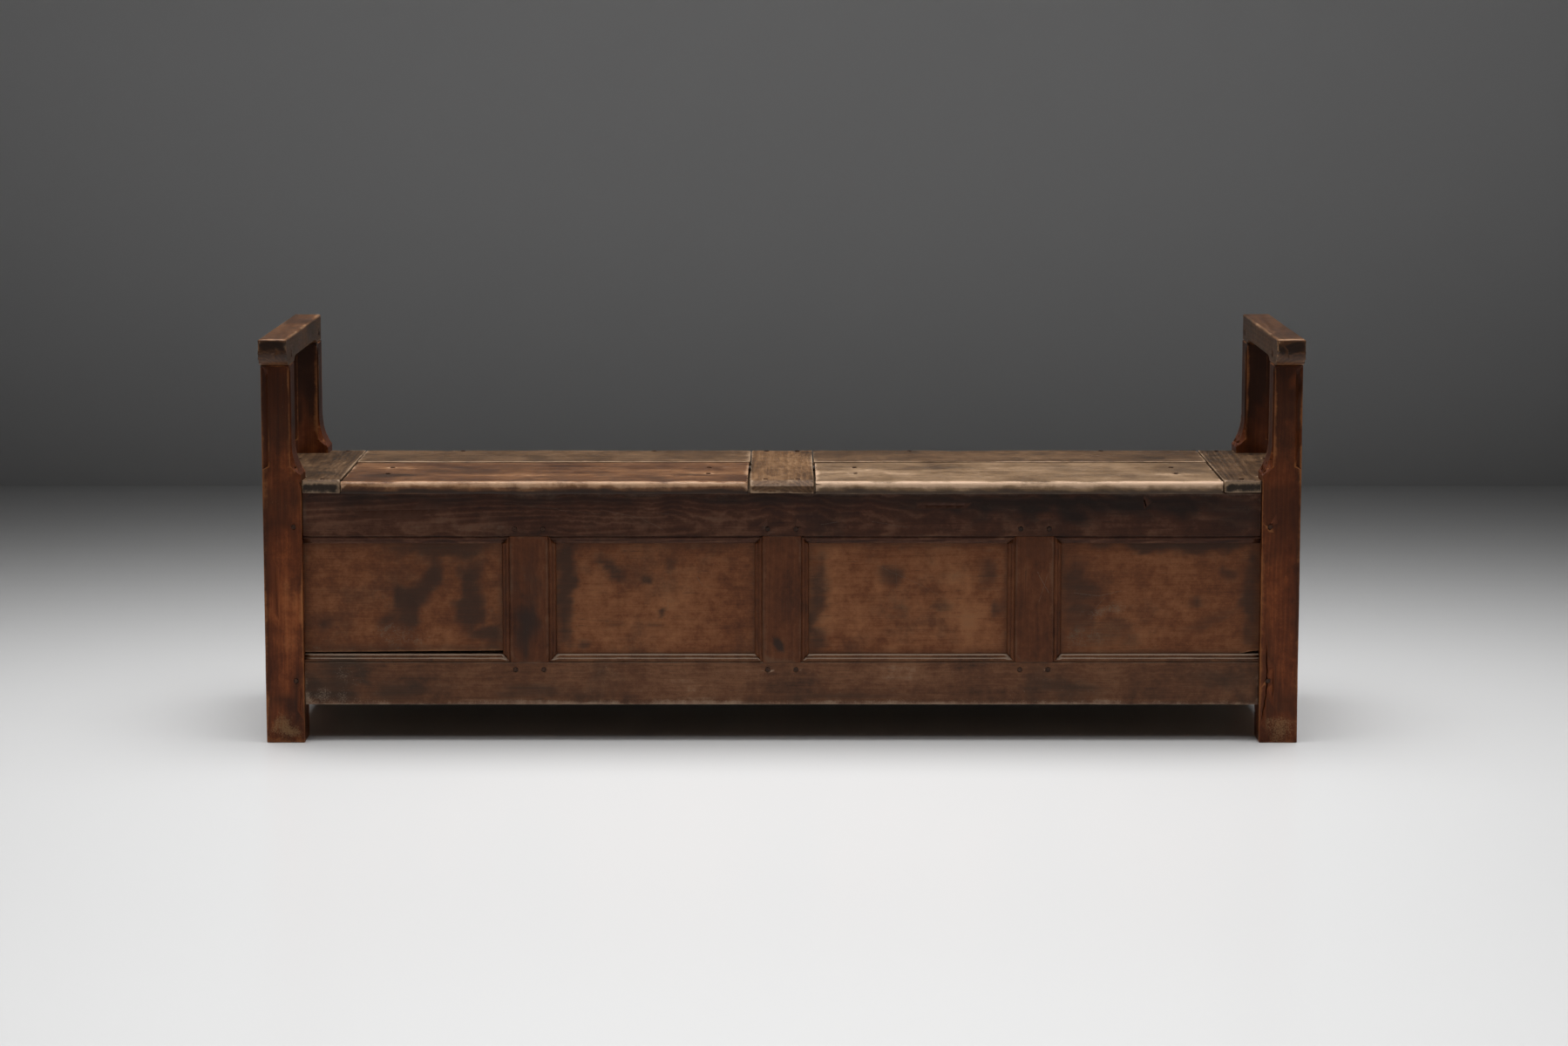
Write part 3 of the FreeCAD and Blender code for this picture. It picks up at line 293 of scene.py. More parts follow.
@dataclass(frozen=True)
class WoodFinish:
    """One finish of old oak, for boards with a given run of the grain.

    Colours are linear. slot is the record's material slot. clouds, mottle, streaks and
    rings say how far each of them moves the colour between dark, body and light,
    settle_and_highlight how much pale dust and painted highlight lie on what faces up,
    specks how many pale specks there are. stain is the dark of stains and of
    painted shade, dust the pale of dust and of painted highlights.
    """

    name: str
    slot: str
    dark: Colour
    body: Colour
    light: Colour
    worn: Colour
    stain: Colour = (0.016, 0.011, 0.008)
    dust: Colour = (0.16, 0.13, 0.095)
    rough: float = 0.46
    worn_rough: float = 0.36
    gloss: float = 0.3
    ring_width: float = 7.0 * MM
    figure: Figure = Figure.STRAIGHT
    rings: float = 0.25
    clouds: float = 1.3
    mottle: float = 0.9
    streaks: float = 0.7
    grime: float = 0.5
    worn_share: float = 0.8
    relief: float = 0.35
    dryness: float = 0.0
    settle_and_highlight: float = 0.0
    specks: float = 0.35
    scratches: tuple[Scratch, ...] = ()

    def material(self, grain: Grain) -> bpy.types.Material:
        """This finish with its grain along one axis.

        Args:
            grain: the axis that the fibres follow.

        Returns:
            The material, made on the first call.
        """
        name = f"{self.name}_{grain.name.lower()}"
        found = bpy.data.materials.get(name)
        if found:
            return found
        made = bpy.data.materials.new(name)
        made.use_nodes = True
        look = WoodLook(NodeSheet(made.node_tree), grain, self)
        look.finish()
        return made


class WoodLook:
    """The nodes of one wooden material."""

    def __init__(self, sheet: NodeSheet, grain: Grain, wood: WoodFinish) -> None:
        """Lays out the places and the noises that all of the look shares."""
        self.sheet = sheet
        self.wood = wood
        self.object_place = sheet.add("ShaderNodeTexCoord").outputs["Object"]
        middle = sheet.add("ShaderNodeAttribute", {"attribute_name": "middle"}).outputs["Vector"]
        settings = {"operation": "SUBTRACT"}
        centred = sheet.add("ShaderNodeVectorMath", settings, {0: self.object_place, 1: middle}).outputs[0]
        parts = sheet.add("ShaderNodeSeparateXYZ", {}, {0: centred}).outputs
        order = {Grain.X: (0, 2, 1), Grain.Y: (1, 0, 2), Grain.Z: (2, 0, 1)}[grain]
        self.centred = [Signal(sheet, parts[i]) for i in order]
        self.board = sheet.attribute("board")
        moved = [part + self.board * move for part, move in zip(self.centred, (3.1, 0.37, 0.23))]
        self.along, self.across, self.deep = moved
        place = sheet.signal("ShaderNodeCombineXYZ", {}, dict(enumerate(moved)))
        self.clouds = sheet.patches(place, 7.0, 5.0, 0.62)
        self.mottle = sheet.patches(place, 42.0, 8.0, 0.74)
        self.grain = sheet.patches(place, 420.0, 3.0, 0.6)
        self.grime = sheet.patches(place, 8.0, 8.0, 0.68)
        self.streak = self.stretched(3.5, 110.0)
        self.fibre = self.stretched(16.0, 560.0)
        self.pores = self.stretched(42.0, 950.0).step(0.60, 0.70)
        self.flecks = self.stretched(26.0, 280.0).step(0.60, 0.69) * self.clouds.step(0.40, 0.58)
        self.specks = sheet.patches(place, 520.0, 2.0, 0.5).step(0.66, 0.72) * self.mottle.step(0.50, 0.62)
        self.rub = sheet.attribute("rub")

    def stretched(self, slow: float, quick: float) -> Signal:
        """Noise drawn out along the grain: slow and quick are its scales along and across."""
        inputs = {0: self.along * slow, 1: self.across * quick, 2: self.deep * quick}
        place = self.sheet.signal("ShaderNodeCombineXYZ", {}, inputs)
        return self.sheet.patches(place, 1.0, 4.0, 0.62)

    def growth_rings(self) -> Signal:
        """The annual rings as the saw met them, from 0 to 1."""
        along, across, deep = self.centred
        wobble = (self.clouds - 0.5) * 0.035 + (self.streak - 0.5) * 0.006
        pith_across = across + (self.board * 2.3).sine() * 0.02 + wobble
        pith_deep = deep + 0.045 + along * self.wood.figure.value + wobble
        radius = (pith_across * pith_across + pith_deep * pith_deep) ** 0.5
        wave = (radius * (2 * math.pi / self.wood.ring_width)).sine() * 0.5 + 0.5
        return wave * wave

    def scratched(self) -> Signal | None:
        """Where the finish's scratches run, from 0 to 1."""
        if not self.wood.scratches:
            return None
        parts = self.sheet.add("ShaderNodeSeparateXYZ", {}, {0: self.object_place}).outputs
        wander = (self.mottle - 0.5) * 0.006
        across, up = Signal(self.sheet, parts[0]) + wander, Signal(self.sheet, parts[2]) + wander
        total: Signal | None = None
        for mark in self.wood.scratches:
            dx, dz = mark.end[0] - mark.start[0], mark.end[1] - mark.start[1]
            square = dx * dx + dz * dz
            from_x, from_z = across - mark.start[0], up - mark.start[1]
            share = (from_x * (dx / square) + from_z * (dz / square)).clamped()
            off_x, off_z = from_x - share * dx, from_z - share * dz
            far = (off_x * off_x + off_z * off_z) ** 0.5
            line = far.step(mark.width, 0.2 * mark.width) * mark.strength
            total = line if total is None else total.larger(line)
        return total * self.grain.step(0.3, 0.55)

    def colour(self, rings: Signal, dust: Signal, wear: Signal) -> bpy.types.NodeSocket:
        """The wood's colour.

        Args:
            rings: the annual rings.
            dust: how dusty a place is, with a painted highlight on what faces up and on the posts' feet.
            wear: how worn a place is.

        Returns:
            The colour's socket.
        """
        wood, sheet = self.wood, self.sheet
        tone = (self.clouds - 0.5) * wood.clouds + (self.mottle - 0.5) * wood.mottle
        tone = tone + (self.streak - 0.5) * wood.streaks + (self.fibre - 0.5) * 0.5
        # The rub attribute lightens: rubbed places, and painted highlights on the noses of the lids, the arms and the
        # seat boards.
        tone = tone + (rings - 0.4) * wood.rings + (self.grain - 0.5) * 0.3 + self.rub * 0.42
        ramp = [(0.0, wood.dark), (0.5, wood.body), (1.0, wood.light)]
        colour = sheet.add("ShaderNodeValToRGB", {"stops": ramp}, {0: tone + 0.5}).outputs[0]
        dirt = (self.grime + (self.grain - 0.5) * 0.12).step(0.50, 0.68) * wood.grime
        colour = sheet.mix(dirt, colour, wood.stain)
        # Darkens by the stain attribute: real stains, and painted shade under the seat's overhang on the top rail, on
        # the seat boards' fronts, under the lids' noses, on the arms' noses, on the posts' upper shafts and along the
        # panels' edges.
        stain = sheet.attribute("stain") + (self.mottle - 0.5) * 0.7 + (self.clouds - 0.5) * 0.5
        stained_and_shaded = (stain + (self.streak - 0.5) * 0.9 + (self.grain - 0.5) * 0.4).step(0.05, 1.05) * 0.88
        colour = sheet.mix(stained_and_shaded, colour, wood.stain)
        colour = sheet.mix(self.flecks * 0.45, colour, wood.stain)
        colour = sheet.mix(self.pores * (0.3 + 0.45 * wood.dryness), colour, wood.dark)
        colour = sheet.mix(dust * 0.75, colour, wood.dust)
        colour = sheet.mix(wear * wood.worn_share, colour, wood.worn)
        marks = self.scratched()
        if marks is not None:
            colour = sheet.mix(marks, colour, wood.dust)
        colour = sheet.mix(self.specks * wood.specks, colour, wood.dust)
        split = sheet.attribute("split").step(0.3, 0.6)
        return sheet.mix(split * 0.92, colour, (0.006, 0.004, 0.003))

    def finish(self) -> None:
        """Joins colour, gloss and relief in the shader."""
        wood, sheet = self.wood, self.sheet
        rings = self.growth_rings()
        speckle = (self.grain - 0.5) * 1.3 + (self.mottle - 0.5) * 1.2
        up_dust_and_highlight = sheet.attribute("dust")
        # What faces up gets pale dust with a painted highlight.
        if wood.settle_and_highlight:
            normal = sheet.add("ShaderNodeNewGeometry").outputs["Normal"]
            rise = Signal(sheet, sheet.add("ShaderNodeSeparateXYZ", {}, {0: normal}).outputs[2])
            up_dust_and_highlight = up_dust_and_highlight + rise.step(0.25, 0.7) * wood.settle_and_highlight
        dust = (up_dust_and_highlight + speckle).step(0.35, 0.95)
        patchy = (self.streak - 0.5) * 0.8 + (self.mottle - 0.5) * 1.1 + (self.clouds - 0.5) * 1.4
        # Rubs and painted highlights also take the worn colour.
        wear = (sheet.attribute("wear") + self.rub * 0.55 + patchy).step(0.35, 1.0)
        colour = self.colour(rings, dust, wear)
        rough = wood.rough + (self.fibre - 0.5) * 0.2 + (self.clouds - 0.5) * 0.25 + dust * 0.25
        rough = rough + wear * (wood.worn_rough - wood.rough)
        height = self.fibre * (0.4 + wood.dryness) + rings * (0.5 * wood.rings) + self.streak * 0.5
        height = height + self.mottle * 0.35 - self.pores * 0.6
        inputs = {"Height": height, "Distance": 0.9 * MM, "Strength": wood.relief}
        bump = sheet.add("ShaderNodeBump", {}, inputs).outputs[0]
        inputs = {"Base Color": colour, "Roughness": rough, "Normal": bump, "Specular IOR Level": wood.gloss}
        shader = sheet.add("ShaderNodeBsdfPrincipled", {}, inputs)
        sheet.add("ShaderNodeOutputMaterial", {}, {"Surface": shader.outputs[0]})


@dataclass(frozen=True)
class IronFinish:
    """Dark forged iron."""

    name: str = "forged_iron"
    slot: str = "forged_iron"
    colour: Colour = (0.035, 0.028, 0.024)
    rust: Colour = (0.09, 0.035, 0.015)

    def material(self) -> bpy.types.Material:
        """The iron's material, with rust in patches."""
        found = bpy.data.materials.get(self.name)
        if found:
            return found
        made = bpy.data.materials.new(self.name)
        made.use_nodes = True
        sheet = NodeSheet(made.node_tree)
        place = sheet.add("ShaderNodeTexCoord").outputs["Object"]
        rust = sheet.patches(place, 160.0).step(0.45, 0.7)
        colour = sheet.mix(rust, self.colour, self.rust)
        inputs = {"Base Color": colour, "Metallic": 1.0 - rust * 0.9, "Roughness": 0.5 + rust * 0.3}
        shader = sheet.add("ShaderNodeBsdfPrincipled", {}, inputs)
        sheet.add("ShaderNodeOutputMaterial", {}, {"Surface": shader.outputs[0]})
        return made


def front_x(pixel: float) -> float:
    """The place in X of a column of the photograph, on the panels."""
    return (pixel - PHOTO_MIDDLE) / PHOTO_SCALE


def front_z(pixel: float) -> float:
    """The height of a row of the photograph, on the panels."""
    return PHOTO_EYE - (pixel + PHOTO_RISE) / PHOTO_SCALE


def scratch(x0: float, y0: float, x1: float, y1: float, width: float = 0.5, strength: float = 0.5) -> Scratch:
    """A scratch between two points of the photograph; width in millimetres."""
    return Scratch((front_x(x0), front_z(y0)), (front_x(x1), front_z(y1)), width * MM, strength)


POST_OAK = WoodFinish(
    "post_oak", "post_oak", dark=(0.040, 0.010, 0.004), body=(0.118, 0.030, 0.009), light=(0.27, 0.075, 0.022),
    worn=(0.32, 0.12, 0.04), stain=(0.022, 0.009, 0.005), dust=(0.24, 0.14, 0.065), rough=0.38, clouds=1.3,
    mottle=1.0, gloss=0.13, streaks=0.4, rings=0.1, grime=0.55,
)
ARM_OAK = WoodFinish(
    "arm_oak", "arm_oak", dark=(0.025, 0.010, 0.005), body=(0.088, 0.037, 0.016), light=(0.19, 0.085, 0.036),
    worn=(0.42, 0.24, 0.13), stain=(0.012, 0.006, 0.004), dust=(0.085, 0.078, 0.060), rough=0.36, gloss=0.2,
    mottle=1.2,
)
# The rail oak darkened by painted shade from the seat's overhang, with its own cathedral figure and scratches.
SHADED_TOP_RAIL_OAK = WoodFinish(
    "shaded_top_rail_oak", "rail_oak", dark=(0.026, 0.010, 0.006), body=(0.062, 0.022, 0.011),
    light=(0.125, 0.055, 0.030), worn=(0.15, 0.10, 0.07), stain=(0.014, 0.009, 0.007), figure=Figure.CATHEDRAL,
    ring_width=9 * MM, rings=0.30, clouds=1.5, mottle=1.3, streaks=0.8, grime=0.5, gloss=0.15, worn_share=0.5,
    scratches=(
        scratch(942, 600, 962, 597), scratch(1000, 596, 1040, 603, 0.4), scratch(690, 583, 735, 592, 0.7, 0.35),
        scratch(735, 592, 762, 606, 0.6, 0.35), scratch(752, 587, 782, 589, 0.5, 0.3),
        scratch(640, 583, 690, 588, 0.5, 0.3), scratch(580, 575, 640, 582, 0.5, 0.25),
    ),
)
RAIL_OAK = WoodFinish(
    "rail_oak", "rail_oak", dark=(0.040, 0.018, 0.010), body=(0.120, 0.047, 0.020), light=(0.21, 0.095, 0.045),
    worn=(0.36, 0.25, 0.17), stain=(0.024, 0.018, 0.013), dust=(0.30, 0.22, 0.16), worn_share=0.75, clouds=1.4,
    mottle=1.3, grime=0.45, rough=0.42, gloss=0.17, streaks=0.5, rings=0.1, settle_and_highlight=1.05,
)
MUNTIN_OAK = WoodFinish(
    "muntin_oak", "rail_oak", dark=(0.034, 0.012, 0.006), body=(0.100, 0.031, 0.011), light=(0.17, 0.062, 0.024),
    worn=(0.13, 0.075, 0.045), stain=(0.026, 0.016, 0.012), worn_share=0.5, clouds=1.3, mottle=1.0, grime=0.4,
    rough=0.42, gloss=0.15, streaks=0.5, rings=0.1,
    scratches=(scratch(1190, 655, 1203, 680, 0.7, 0.6), scratch(1202, 657, 1192, 690, 0.5, 0.5)),
)
PANEL_OAK = WoodFinish(
    "panel_oak", "panel_oak", dark=(0.060, 0.020, 0.010), body=(0.160, 0.055, 0.021), light=(0.28, 0.115, 0.048),
    worn=(0.26, 0.12, 0.055), stain=(0.040, 0.022, 0.015), clouds=1.3, mottle=1.5, streaks=0.5, grime=0.45,
    rough=0.5, rings=0.0, gloss=0.14,
    scratches=(
        scratch(1006, 648, 1050, 668, 0.4, 0.45), scratch(1050, 668, 1096, 693, 0.4, 0.35),
        scratch(1028, 640, 1029, 678, 0.4, 0.3), scratch(1233, 680, 1262, 684, 0.8, 0.5),
        scratch(1262, 684, 1287, 678, 0.8, 0.45), scratch(1268, 686, 1256, 700, 0.6, 0.4),
        scratch(799, 662, 806, 672, 0.6, 0.5), scratch(765, 690, 767, 700, 0.5, 0.4),
    ),
)
SEAT_OAK = WoodFinish(
    "seat_oak", "seat_oak", dark=(0.030, 0.017, 0.010), body=(0.098, 0.053, 0.026), light=(0.20, 0.115, 0.060),
    worn=(0.40, 0.27, 0.17), stain=(0.016, 0.012, 0.009), dust=(0.22, 0.18, 0.13), rough=0.5, worn_rough=0.42,
    relief=0.6, dryness=0.5, streaks=1.1, grime=0.6, mottle=1.3, gloss=0.2,
)
CENTRE_OAK = replace(
    SEAT_OAK, name="centre_oak", dark=(0.05, 0.025, 0.012), body=(0.148, 0.075, 0.033), light=(0.26, 0.145, 0.070),
)
# The worn gold of the edges, also painted over the nose's top edge as a painted highlight.
LID_OAK = WoodFinish(
    "lid_oak", "lid_oak", dark=(0.036, 0.014, 0.008), body=(0.125, 0.054, 0.023), light=(0.26, 0.125, 0.056),
    worn=(0.58, 0.36, 0.22), stain=(0.024, 0.014, 0.010), dust=(0.22, 0.18, 0.13), rough=0.42, worn_rough=0.36,
    relief=0.55, dryness=0.35, streaks=1.3, clouds=1.7, grime=0.5, mottle=1.1, gloss=0.22,
)
PALE_LID_OAK = replace(
    LID_OAK, name="pale_lid_oak", dark=(0.050, 0.026, 0.014), body=(0.195, 0.118, 0.062), light=(0.34, 0.22, 0.13),
    worn=(0.68, 0.46, 0.31), stain=(0.05, 0.032, 0.022), grime=0.4,
)
BACK_OAK = WoodFinish(
    "back_oak", "back_oak", dark=(0.080, 0.066, 0.052), body=(0.205, 0.182, 0.150), light=(0.31, 0.282, 0.240),
    worn=(0.3, 0.27, 0.24), stain=(0.05, 0.040, 0.031), dust=(0.34, 0.31, 0.27), rough=0.8, worn_rough=0.7,
    gloss=0.2, relief=0.8, dryness=1.0, streaks=1.3,
)
INNER_OAK = WoodFinish(
    "inner_oak", "inner_oak", dark=(0.05, 0.03, 0.017), body=(0.15, 0.095, 0.055), light=(0.25, 0.17, 0.105),
    worn=(0.25, 0.17, 0.11), rough=0.75, worn_rough=0.65, gloss=0.2, dryness=0.7, grime=0.3,
)
PEG_OAK = WoodFinish(
    "peg_oak", "peg_oak", dark=(0.014, 0.007, 0.004), body=(0.045, 0.018, 0.009), light=(0.09, 0.038, 0.018),
    worn=(0.08, 0.035, 0.016), rough=0.5, gloss=0.2,
)
IRON = IronFinish()


# Worn boards


@dataclass(frozen=True)
class Patch:
    """A dark, dusty or rubbed patch, or a patch of painted shade or painted highlight: an ellipse seen from the front,
    or from above.

    up is its height, or its place in Y where it is seen from above. reach is the room that
    it covers on the third axis.
    """

    x: float
    up: float
    half_x: float
    half_up: float
    lean_deg: float = 0.0
    strength: float = 1.0
    above: bool = False
    reach: tuple[float, float] = (-9.0, 9.0)


@dataclass(frozen=True)
class Split:
    """A crack along a face.

    points are its course on the face, inward the way into the wood. Width is at the widest.
    """

    points: tuple[tuple[float, float, float], ...]
    inward: tuple[float, float, float]
    width: float = 1.6 * MM
    depth: float = 9.0 * MM
    tapers: tuple[float, float] = (0.12, 0.12)


@dataclass(frozen=True)
class Wear:
    """How far use has worn a board."""

    arris: float = 1.6 * MM
    uneven: float = 0.6
    hollow: float = 0.45 * MM
    ripple: float = 0.12 * MM
    nibble: float = 0.0
    along: float = 16.0 * MM
    across: float = 16.0 * MM
    segments: int = 2


@dataclass
class Board:
    """One wooden piece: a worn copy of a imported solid."""

    node: str
    grain: Grain
    finish: WoodFinish
    wear: Wear = field(default_factory=Wear)
    # These patches darken the wood with real stains and painted shade, pale it with dust and a painted highlight, and
    # lighten it with rubs and painted highlights; a panel's rim gets painted shade along its edges.
    stains_and_shade: Sequence[Patch] = ()
    dust: Sequence[Patch] = ()
    rubs_and_highlights: Sequence[Patch] = ()
    splits: Sequence[Split] = ()
    eaten: Sequence[tuple[float, float, float, float]] = ()
    edge_shade: float = 0.0
    seed: int = 0

    SHARP = math.radians(33)
    WIDEST = 6.0 * MM
    CRISP = 5.5 * MM

    def build(self, nodes: Mapping[str, bpy.types.Object]) -> bpy.types.Object:
        """Makes the worn piece in place of its solid.

        Args:
            nodes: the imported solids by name.

        Returns:
            The finished object.
        """
        source = nodes[self.node]
        sheet = bmesh.new()
        sheet.from_mesh(source.data)
        bmesh.ops.remove_doubles(sheet, verts=sheet.verts, dist=2e-5)
        flat = math.radians(0.6)
        bmesh.ops.dissolve_limit(sheet, angle_limit=flat, verts=sheet.verts, edges=sheet.edges)
        crisp = self._crisp_places(sheet)
        self._slice(sheet)
        self._weigh_arrises(sheet, crisp)
        mesh = bpy.data.meshes.new("worn_" + self.node)
        sheet.to_mesh(mesh)
        sheet.free()
        made = bpy.data.objects.new("worn_" + self.node, mesh)
        bpy.context.scene.collection.objects.link(made)
        round_off = made.modifiers.new("arrises", "BEVEL")
        round_off.limit_method = "WEIGHT"
        round_off.width = self.WIDEST
        round_off.segments = self.wear.segments
        round_off.use_clamp_overlap = False
        self._bake(made)
        self._tag(made, crisp)
        self._weather(made)
        self._cut(made)
        self._dress(made, source["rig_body"])
        LOG.info("%s: %d faces", made.name, len(made.data.polygons))
        return made

    def _crisp_places(self, sheet: bmesh.types.BMesh) -> KDTree:
        """The corners of peg holes and moulded ends, which stay crisp and unworn."""
        corners = [v.co for v in sheet.verts if any(e.calc_length() < self.CRISP for e in v.link_edges)]
        tree = KDTree(len(corners))
        for number, corner in enumerate(corners):
            tree.insert(corner, number)
        tree.balance()
        return tree

    @staticmethod
    def _is_crisp(crisp: KDTree, vert: bmesh.types.BMVert, reach: float) -> bool:
        """Whether a vertex lies within reach of a crisp corner."""
        return bool(crisp.find_range(vert.co, reach))

    def _slice(self, sheet: bmesh.types.BMesh) -> None:
        """Cuts the faces into a net fine enough to be worn unevenly."""
        points = np.array([v.co for v in sheet.verts])
        low, high = points.min(0), points.max(0)
        for axis in range(3):
            pitch = self.wear.along if axis == self.grain.value else self.wear.across
            count = int((high[axis] - low[axis]) / pitch)
            normal = [0.0, 0.0, 0.0]
            normal[axis] = 1.0
            for index in range(1, count):
                spot = [0.0, 0.0, 0.0]
                spot[axis] = low[axis] + (high[axis] - low[axis]) * (index + 0.013) / count
                everything = [*sheet.verts, *sheet.edges, *sheet.faces]
                bmesh.ops.bisect_plane(sheet, geom=everything, dist=1e-6, plane_co=spot, plane_no=normal)

    def _weigh_arrises(self, sheet: bmesh.types.BMesh, crisp: KDTree) -> None:
        """Gives each outward arris its own round, wandering along its length."""
        layer = sheet.edges.layers.float.new("bevel_weight_edge")
        for edge in sheet.edges:
            if edge.calc_length() < self.CRISP and all(self._is_crisp(crisp, v, 0.1 * MM) for v in edge.verts):
                continue
            if len(edge.link_faces) != 2 or not edge.is_convex or edge.calc_face_angle(0.0) < self.SHARP:
                continue
            length = edge.calc_length()
            if length < 1e-6:
                continue
            room = min(face.calc_area() / length for face in edge.link_faces)
            middle = (edge.verts[0].co + edge.verts[1].co) / 2
            wander = noise.noise(middle * 14 + Vector((self.seed, 0, 0)))
            wander += 0.5 * noise.noise(middle * 55 + Vector((0, self.seed, 0)))
            wide = self.wear.arris * max(0.25, 1 + self.wear.uneven * 1.6 * wander)
            edge[layer] = min(wide, 0.33 * room) / self.WIDEST

    def _bake(self, made: bpy.types.Object) -> None:
        """Turns the object's modifiers into its mesh."""
        graph = bpy.context.evaluated_depsgraph_get()
        baked = bpy.data.meshes.new_from_object(made.evaluated_get(graph))
        made.modifiers.clear()
        made.data = baked

    def _tag(self, made: bpy.types.Object, crisp: KDTree) -> None:
        """Writes the vertex numbers that the finishes read: board, wear, stain with painted shade, dust with a painted
        highlight, rub with painted highlights, and split.
        """
        mesh = made.data
        sheet = bmesh.new()
        sheet.from_mesh(mesh)
        worn = np.zeros(len(sheet.verts), np.float32)
        for edge in sheet.edges:
            if len(edge.link_faces) == 2 and edge.is_convex:
                bend = edge.calc_face_angle(0.0)
                if bend > 0.15:
                    for vert in edge.verts:
                        if self._is_crisp(crisp, vert, 2 * MM):
                            continue
                        worn[vert.index] = max(worn[vert.index], min(1.0, bend / 0.6))
        sheet.free()
        points = self._points(mesh)
        low, high = points.min(0), points.max(0)
        middles = np.tile((low + high) / 2, (len(points), 1)).astype(np.float32)
        mesh.attributes.new("middle", "FLOAT_VECTOR", "POINT").data.foreach_set("vector", middles.ravel())
        draw = random.Random(self.seed * 7919 + len(self.node))
        # The panels' painted shade along their edges joins the stains.
        stains_and_shade = np.maximum(self._cover(points, self.stains_and_shade), self._edge_shade(points, low, high))
        tags = {
            "board": np.full(len(points), draw.random() * 9 + self.seed, np.float32),
            "wear": worn,
            "stain": stains_and_shade,
            "dust": self._cover(points, self.dust),
            "rub": self._cover(points, self.rubs_and_highlights),
            "split": np.zeros(len(points), np.float32),
        }
        for name, values in tags.items():
            mesh.attributes.new(name, "FLOAT", "POINT").data.foreach_set("value", values)

    @staticmethod
    def _points(mesh: bpy.types.Mesh) -> np.ndarray:
        """The places of a mesh's vertices as rows."""
        flat = np.zeros(len(mesh.vertices) * 3, np.float32)
        mesh.vertices.foreach_get("co", flat)
        return flat.reshape(-1, 3)

    @staticmethod
    def _cover(points: np.ndarray, patches: Iterable[Patch]) -> np.ndarray:
        """How far each point lies in any of the patches.

        Args:
            points: rows of x, y and z.
            patches: the patches seen from the front.

        Returns:
            A number for each point, 0 outside and strength in the middle.
        """
        patches = list(patches)
        cover = np.zeros(len(points), np.float32)
        if not patches:
            return cover
        wander = np.array([noise.turbulence_vector(Vector(p) * 24, 3, False) for p in points])
        for patch in patches:
            turn = math.radians(patch.lean_deg)
            moved = points + wander * min(patch.half_x, patch.half_up) * 0.9
            second, third = (1, 2) if patch.above else (2, 1)
            dx, dz = moved[:, 0] - patch.x, moved[:, second] - patch.up
            along = (dx * math.cos(turn) + dz * math.sin(turn)) / patch.half_x
            up = (-dx * math.sin(turn) + dz * math.cos(turn)) / patch.half_up
            far = np.sqrt(along**2 + up**2)
            near, end = patch.reach
            inside = (points[:, third] > near) & (points[:, third] < end)
            shape = np.clip(1.6 - far, 0, 1) * np.clip(1.7 - 0.7 * far, 0, 1)
            cover = np.maximum(cover, patch.strength * shape * inside)
        return cover.astype(np.float32)

    def _edge_shade(self, points: np.ndarray, low: np.ndarray, high: np.ndarray) -> np.ndarray:
        """How near each point of a panel lies to its frame, where painted shade darkens it."""
        if not self.edge_shade:
            return np.zeros(len(points), np.float32)
        inset = 10 * MM
        near = np.minimum(points - low, high - points)[:, [0, 2]].min(1) - inset
        return (self.edge_shade * np.clip(1 - near / (16 * MM), 0, 1)).astype(np.float32)

    def _weather(self, made: bpy.types.Object) -> None:
        """Wears the faces: broad hollows, raised grain and nibbled arrises, all into the wood."""
        mesh = made.data
        normals = [v.normal.copy() for v in mesh.vertices]
        worn = np.zeros(len(mesh.vertices), np.float32)
        mesh.attributes["wear"].data.foreach_get("value", worn)
        shift = Vector((self.seed * 1.7, self.seed * 0.9, 0))
        stretch = [60.0, 60.0, 60.0]
        stretch[self.grain.value] = 3.0
        for vert, normal, edge in zip(mesh.vertices, normals, worn):
            spot = vert.co + shift
            hollow = noise.noise(spot * 7) * 0.5 + 0.5
            fine = Vector([c * s for c, s in zip(spot, stretch)])
            ripple = noise.noise(fine) * 0.5 + 0.5
            deep = self.wear.hollow * hollow + self.wear.ripple * ripple
            if self.wear.nibble and edge > 0.3:
                bite = noise.noise(spot * 40) + 0.6 * noise.noise(spot * 110)
                deep += self.wear.nibble * edge * max(0.0, bite + 0.15)
            vert.co -= normal * deep

    def _cut(self, made: bpy.types.Object) -> None:
        """Cuts the splits and the worm-eaten places out of the board."""
        draw = random.Random(self.seed + 5)
        sheet = bmesh.new()
        for split in self.splits:
            self._blade(sheet, split, draw)
        for x, y, z, radius in self.eaten:
            self._gnaw(sheet, Vector((x, y, z)), radius, draw)
        if not sheet.faces:
            sheet.free()
            return
        bmesh.ops.recalc_face_normals(sheet, faces=sheet.faces)
        tool_mesh = bpy.data.meshes.new("cutter")
        sheet.to_mesh(tool_mesh)
        sheet.free()
        inside = np.ones(len(tool_mesh.vertices), np.float32)
        tool_mesh.attributes.new("split", "FLOAT", "POINT").data.foreach_set("value", inside)
        tool = bpy.data.objects.new("cutter", tool_mesh)
        bpy.context.scene.collection.objects.link(tool)
        before = len(made.data.polygons)
        cut = made.modifiers.new("cut", "BOOLEAN")
        cut.operation = "DIFFERENCE"
        cut.object = tool
        cut.solver = "EXACT"
        cut.use_self = True
        self._bake(made)
        bpy.data.objects.remove(tool)
        bpy.data.meshes.remove(tool_mesh)
        LOG.info("%s: cut from %d to %d faces", made.name, before, len(made.data.polygons))

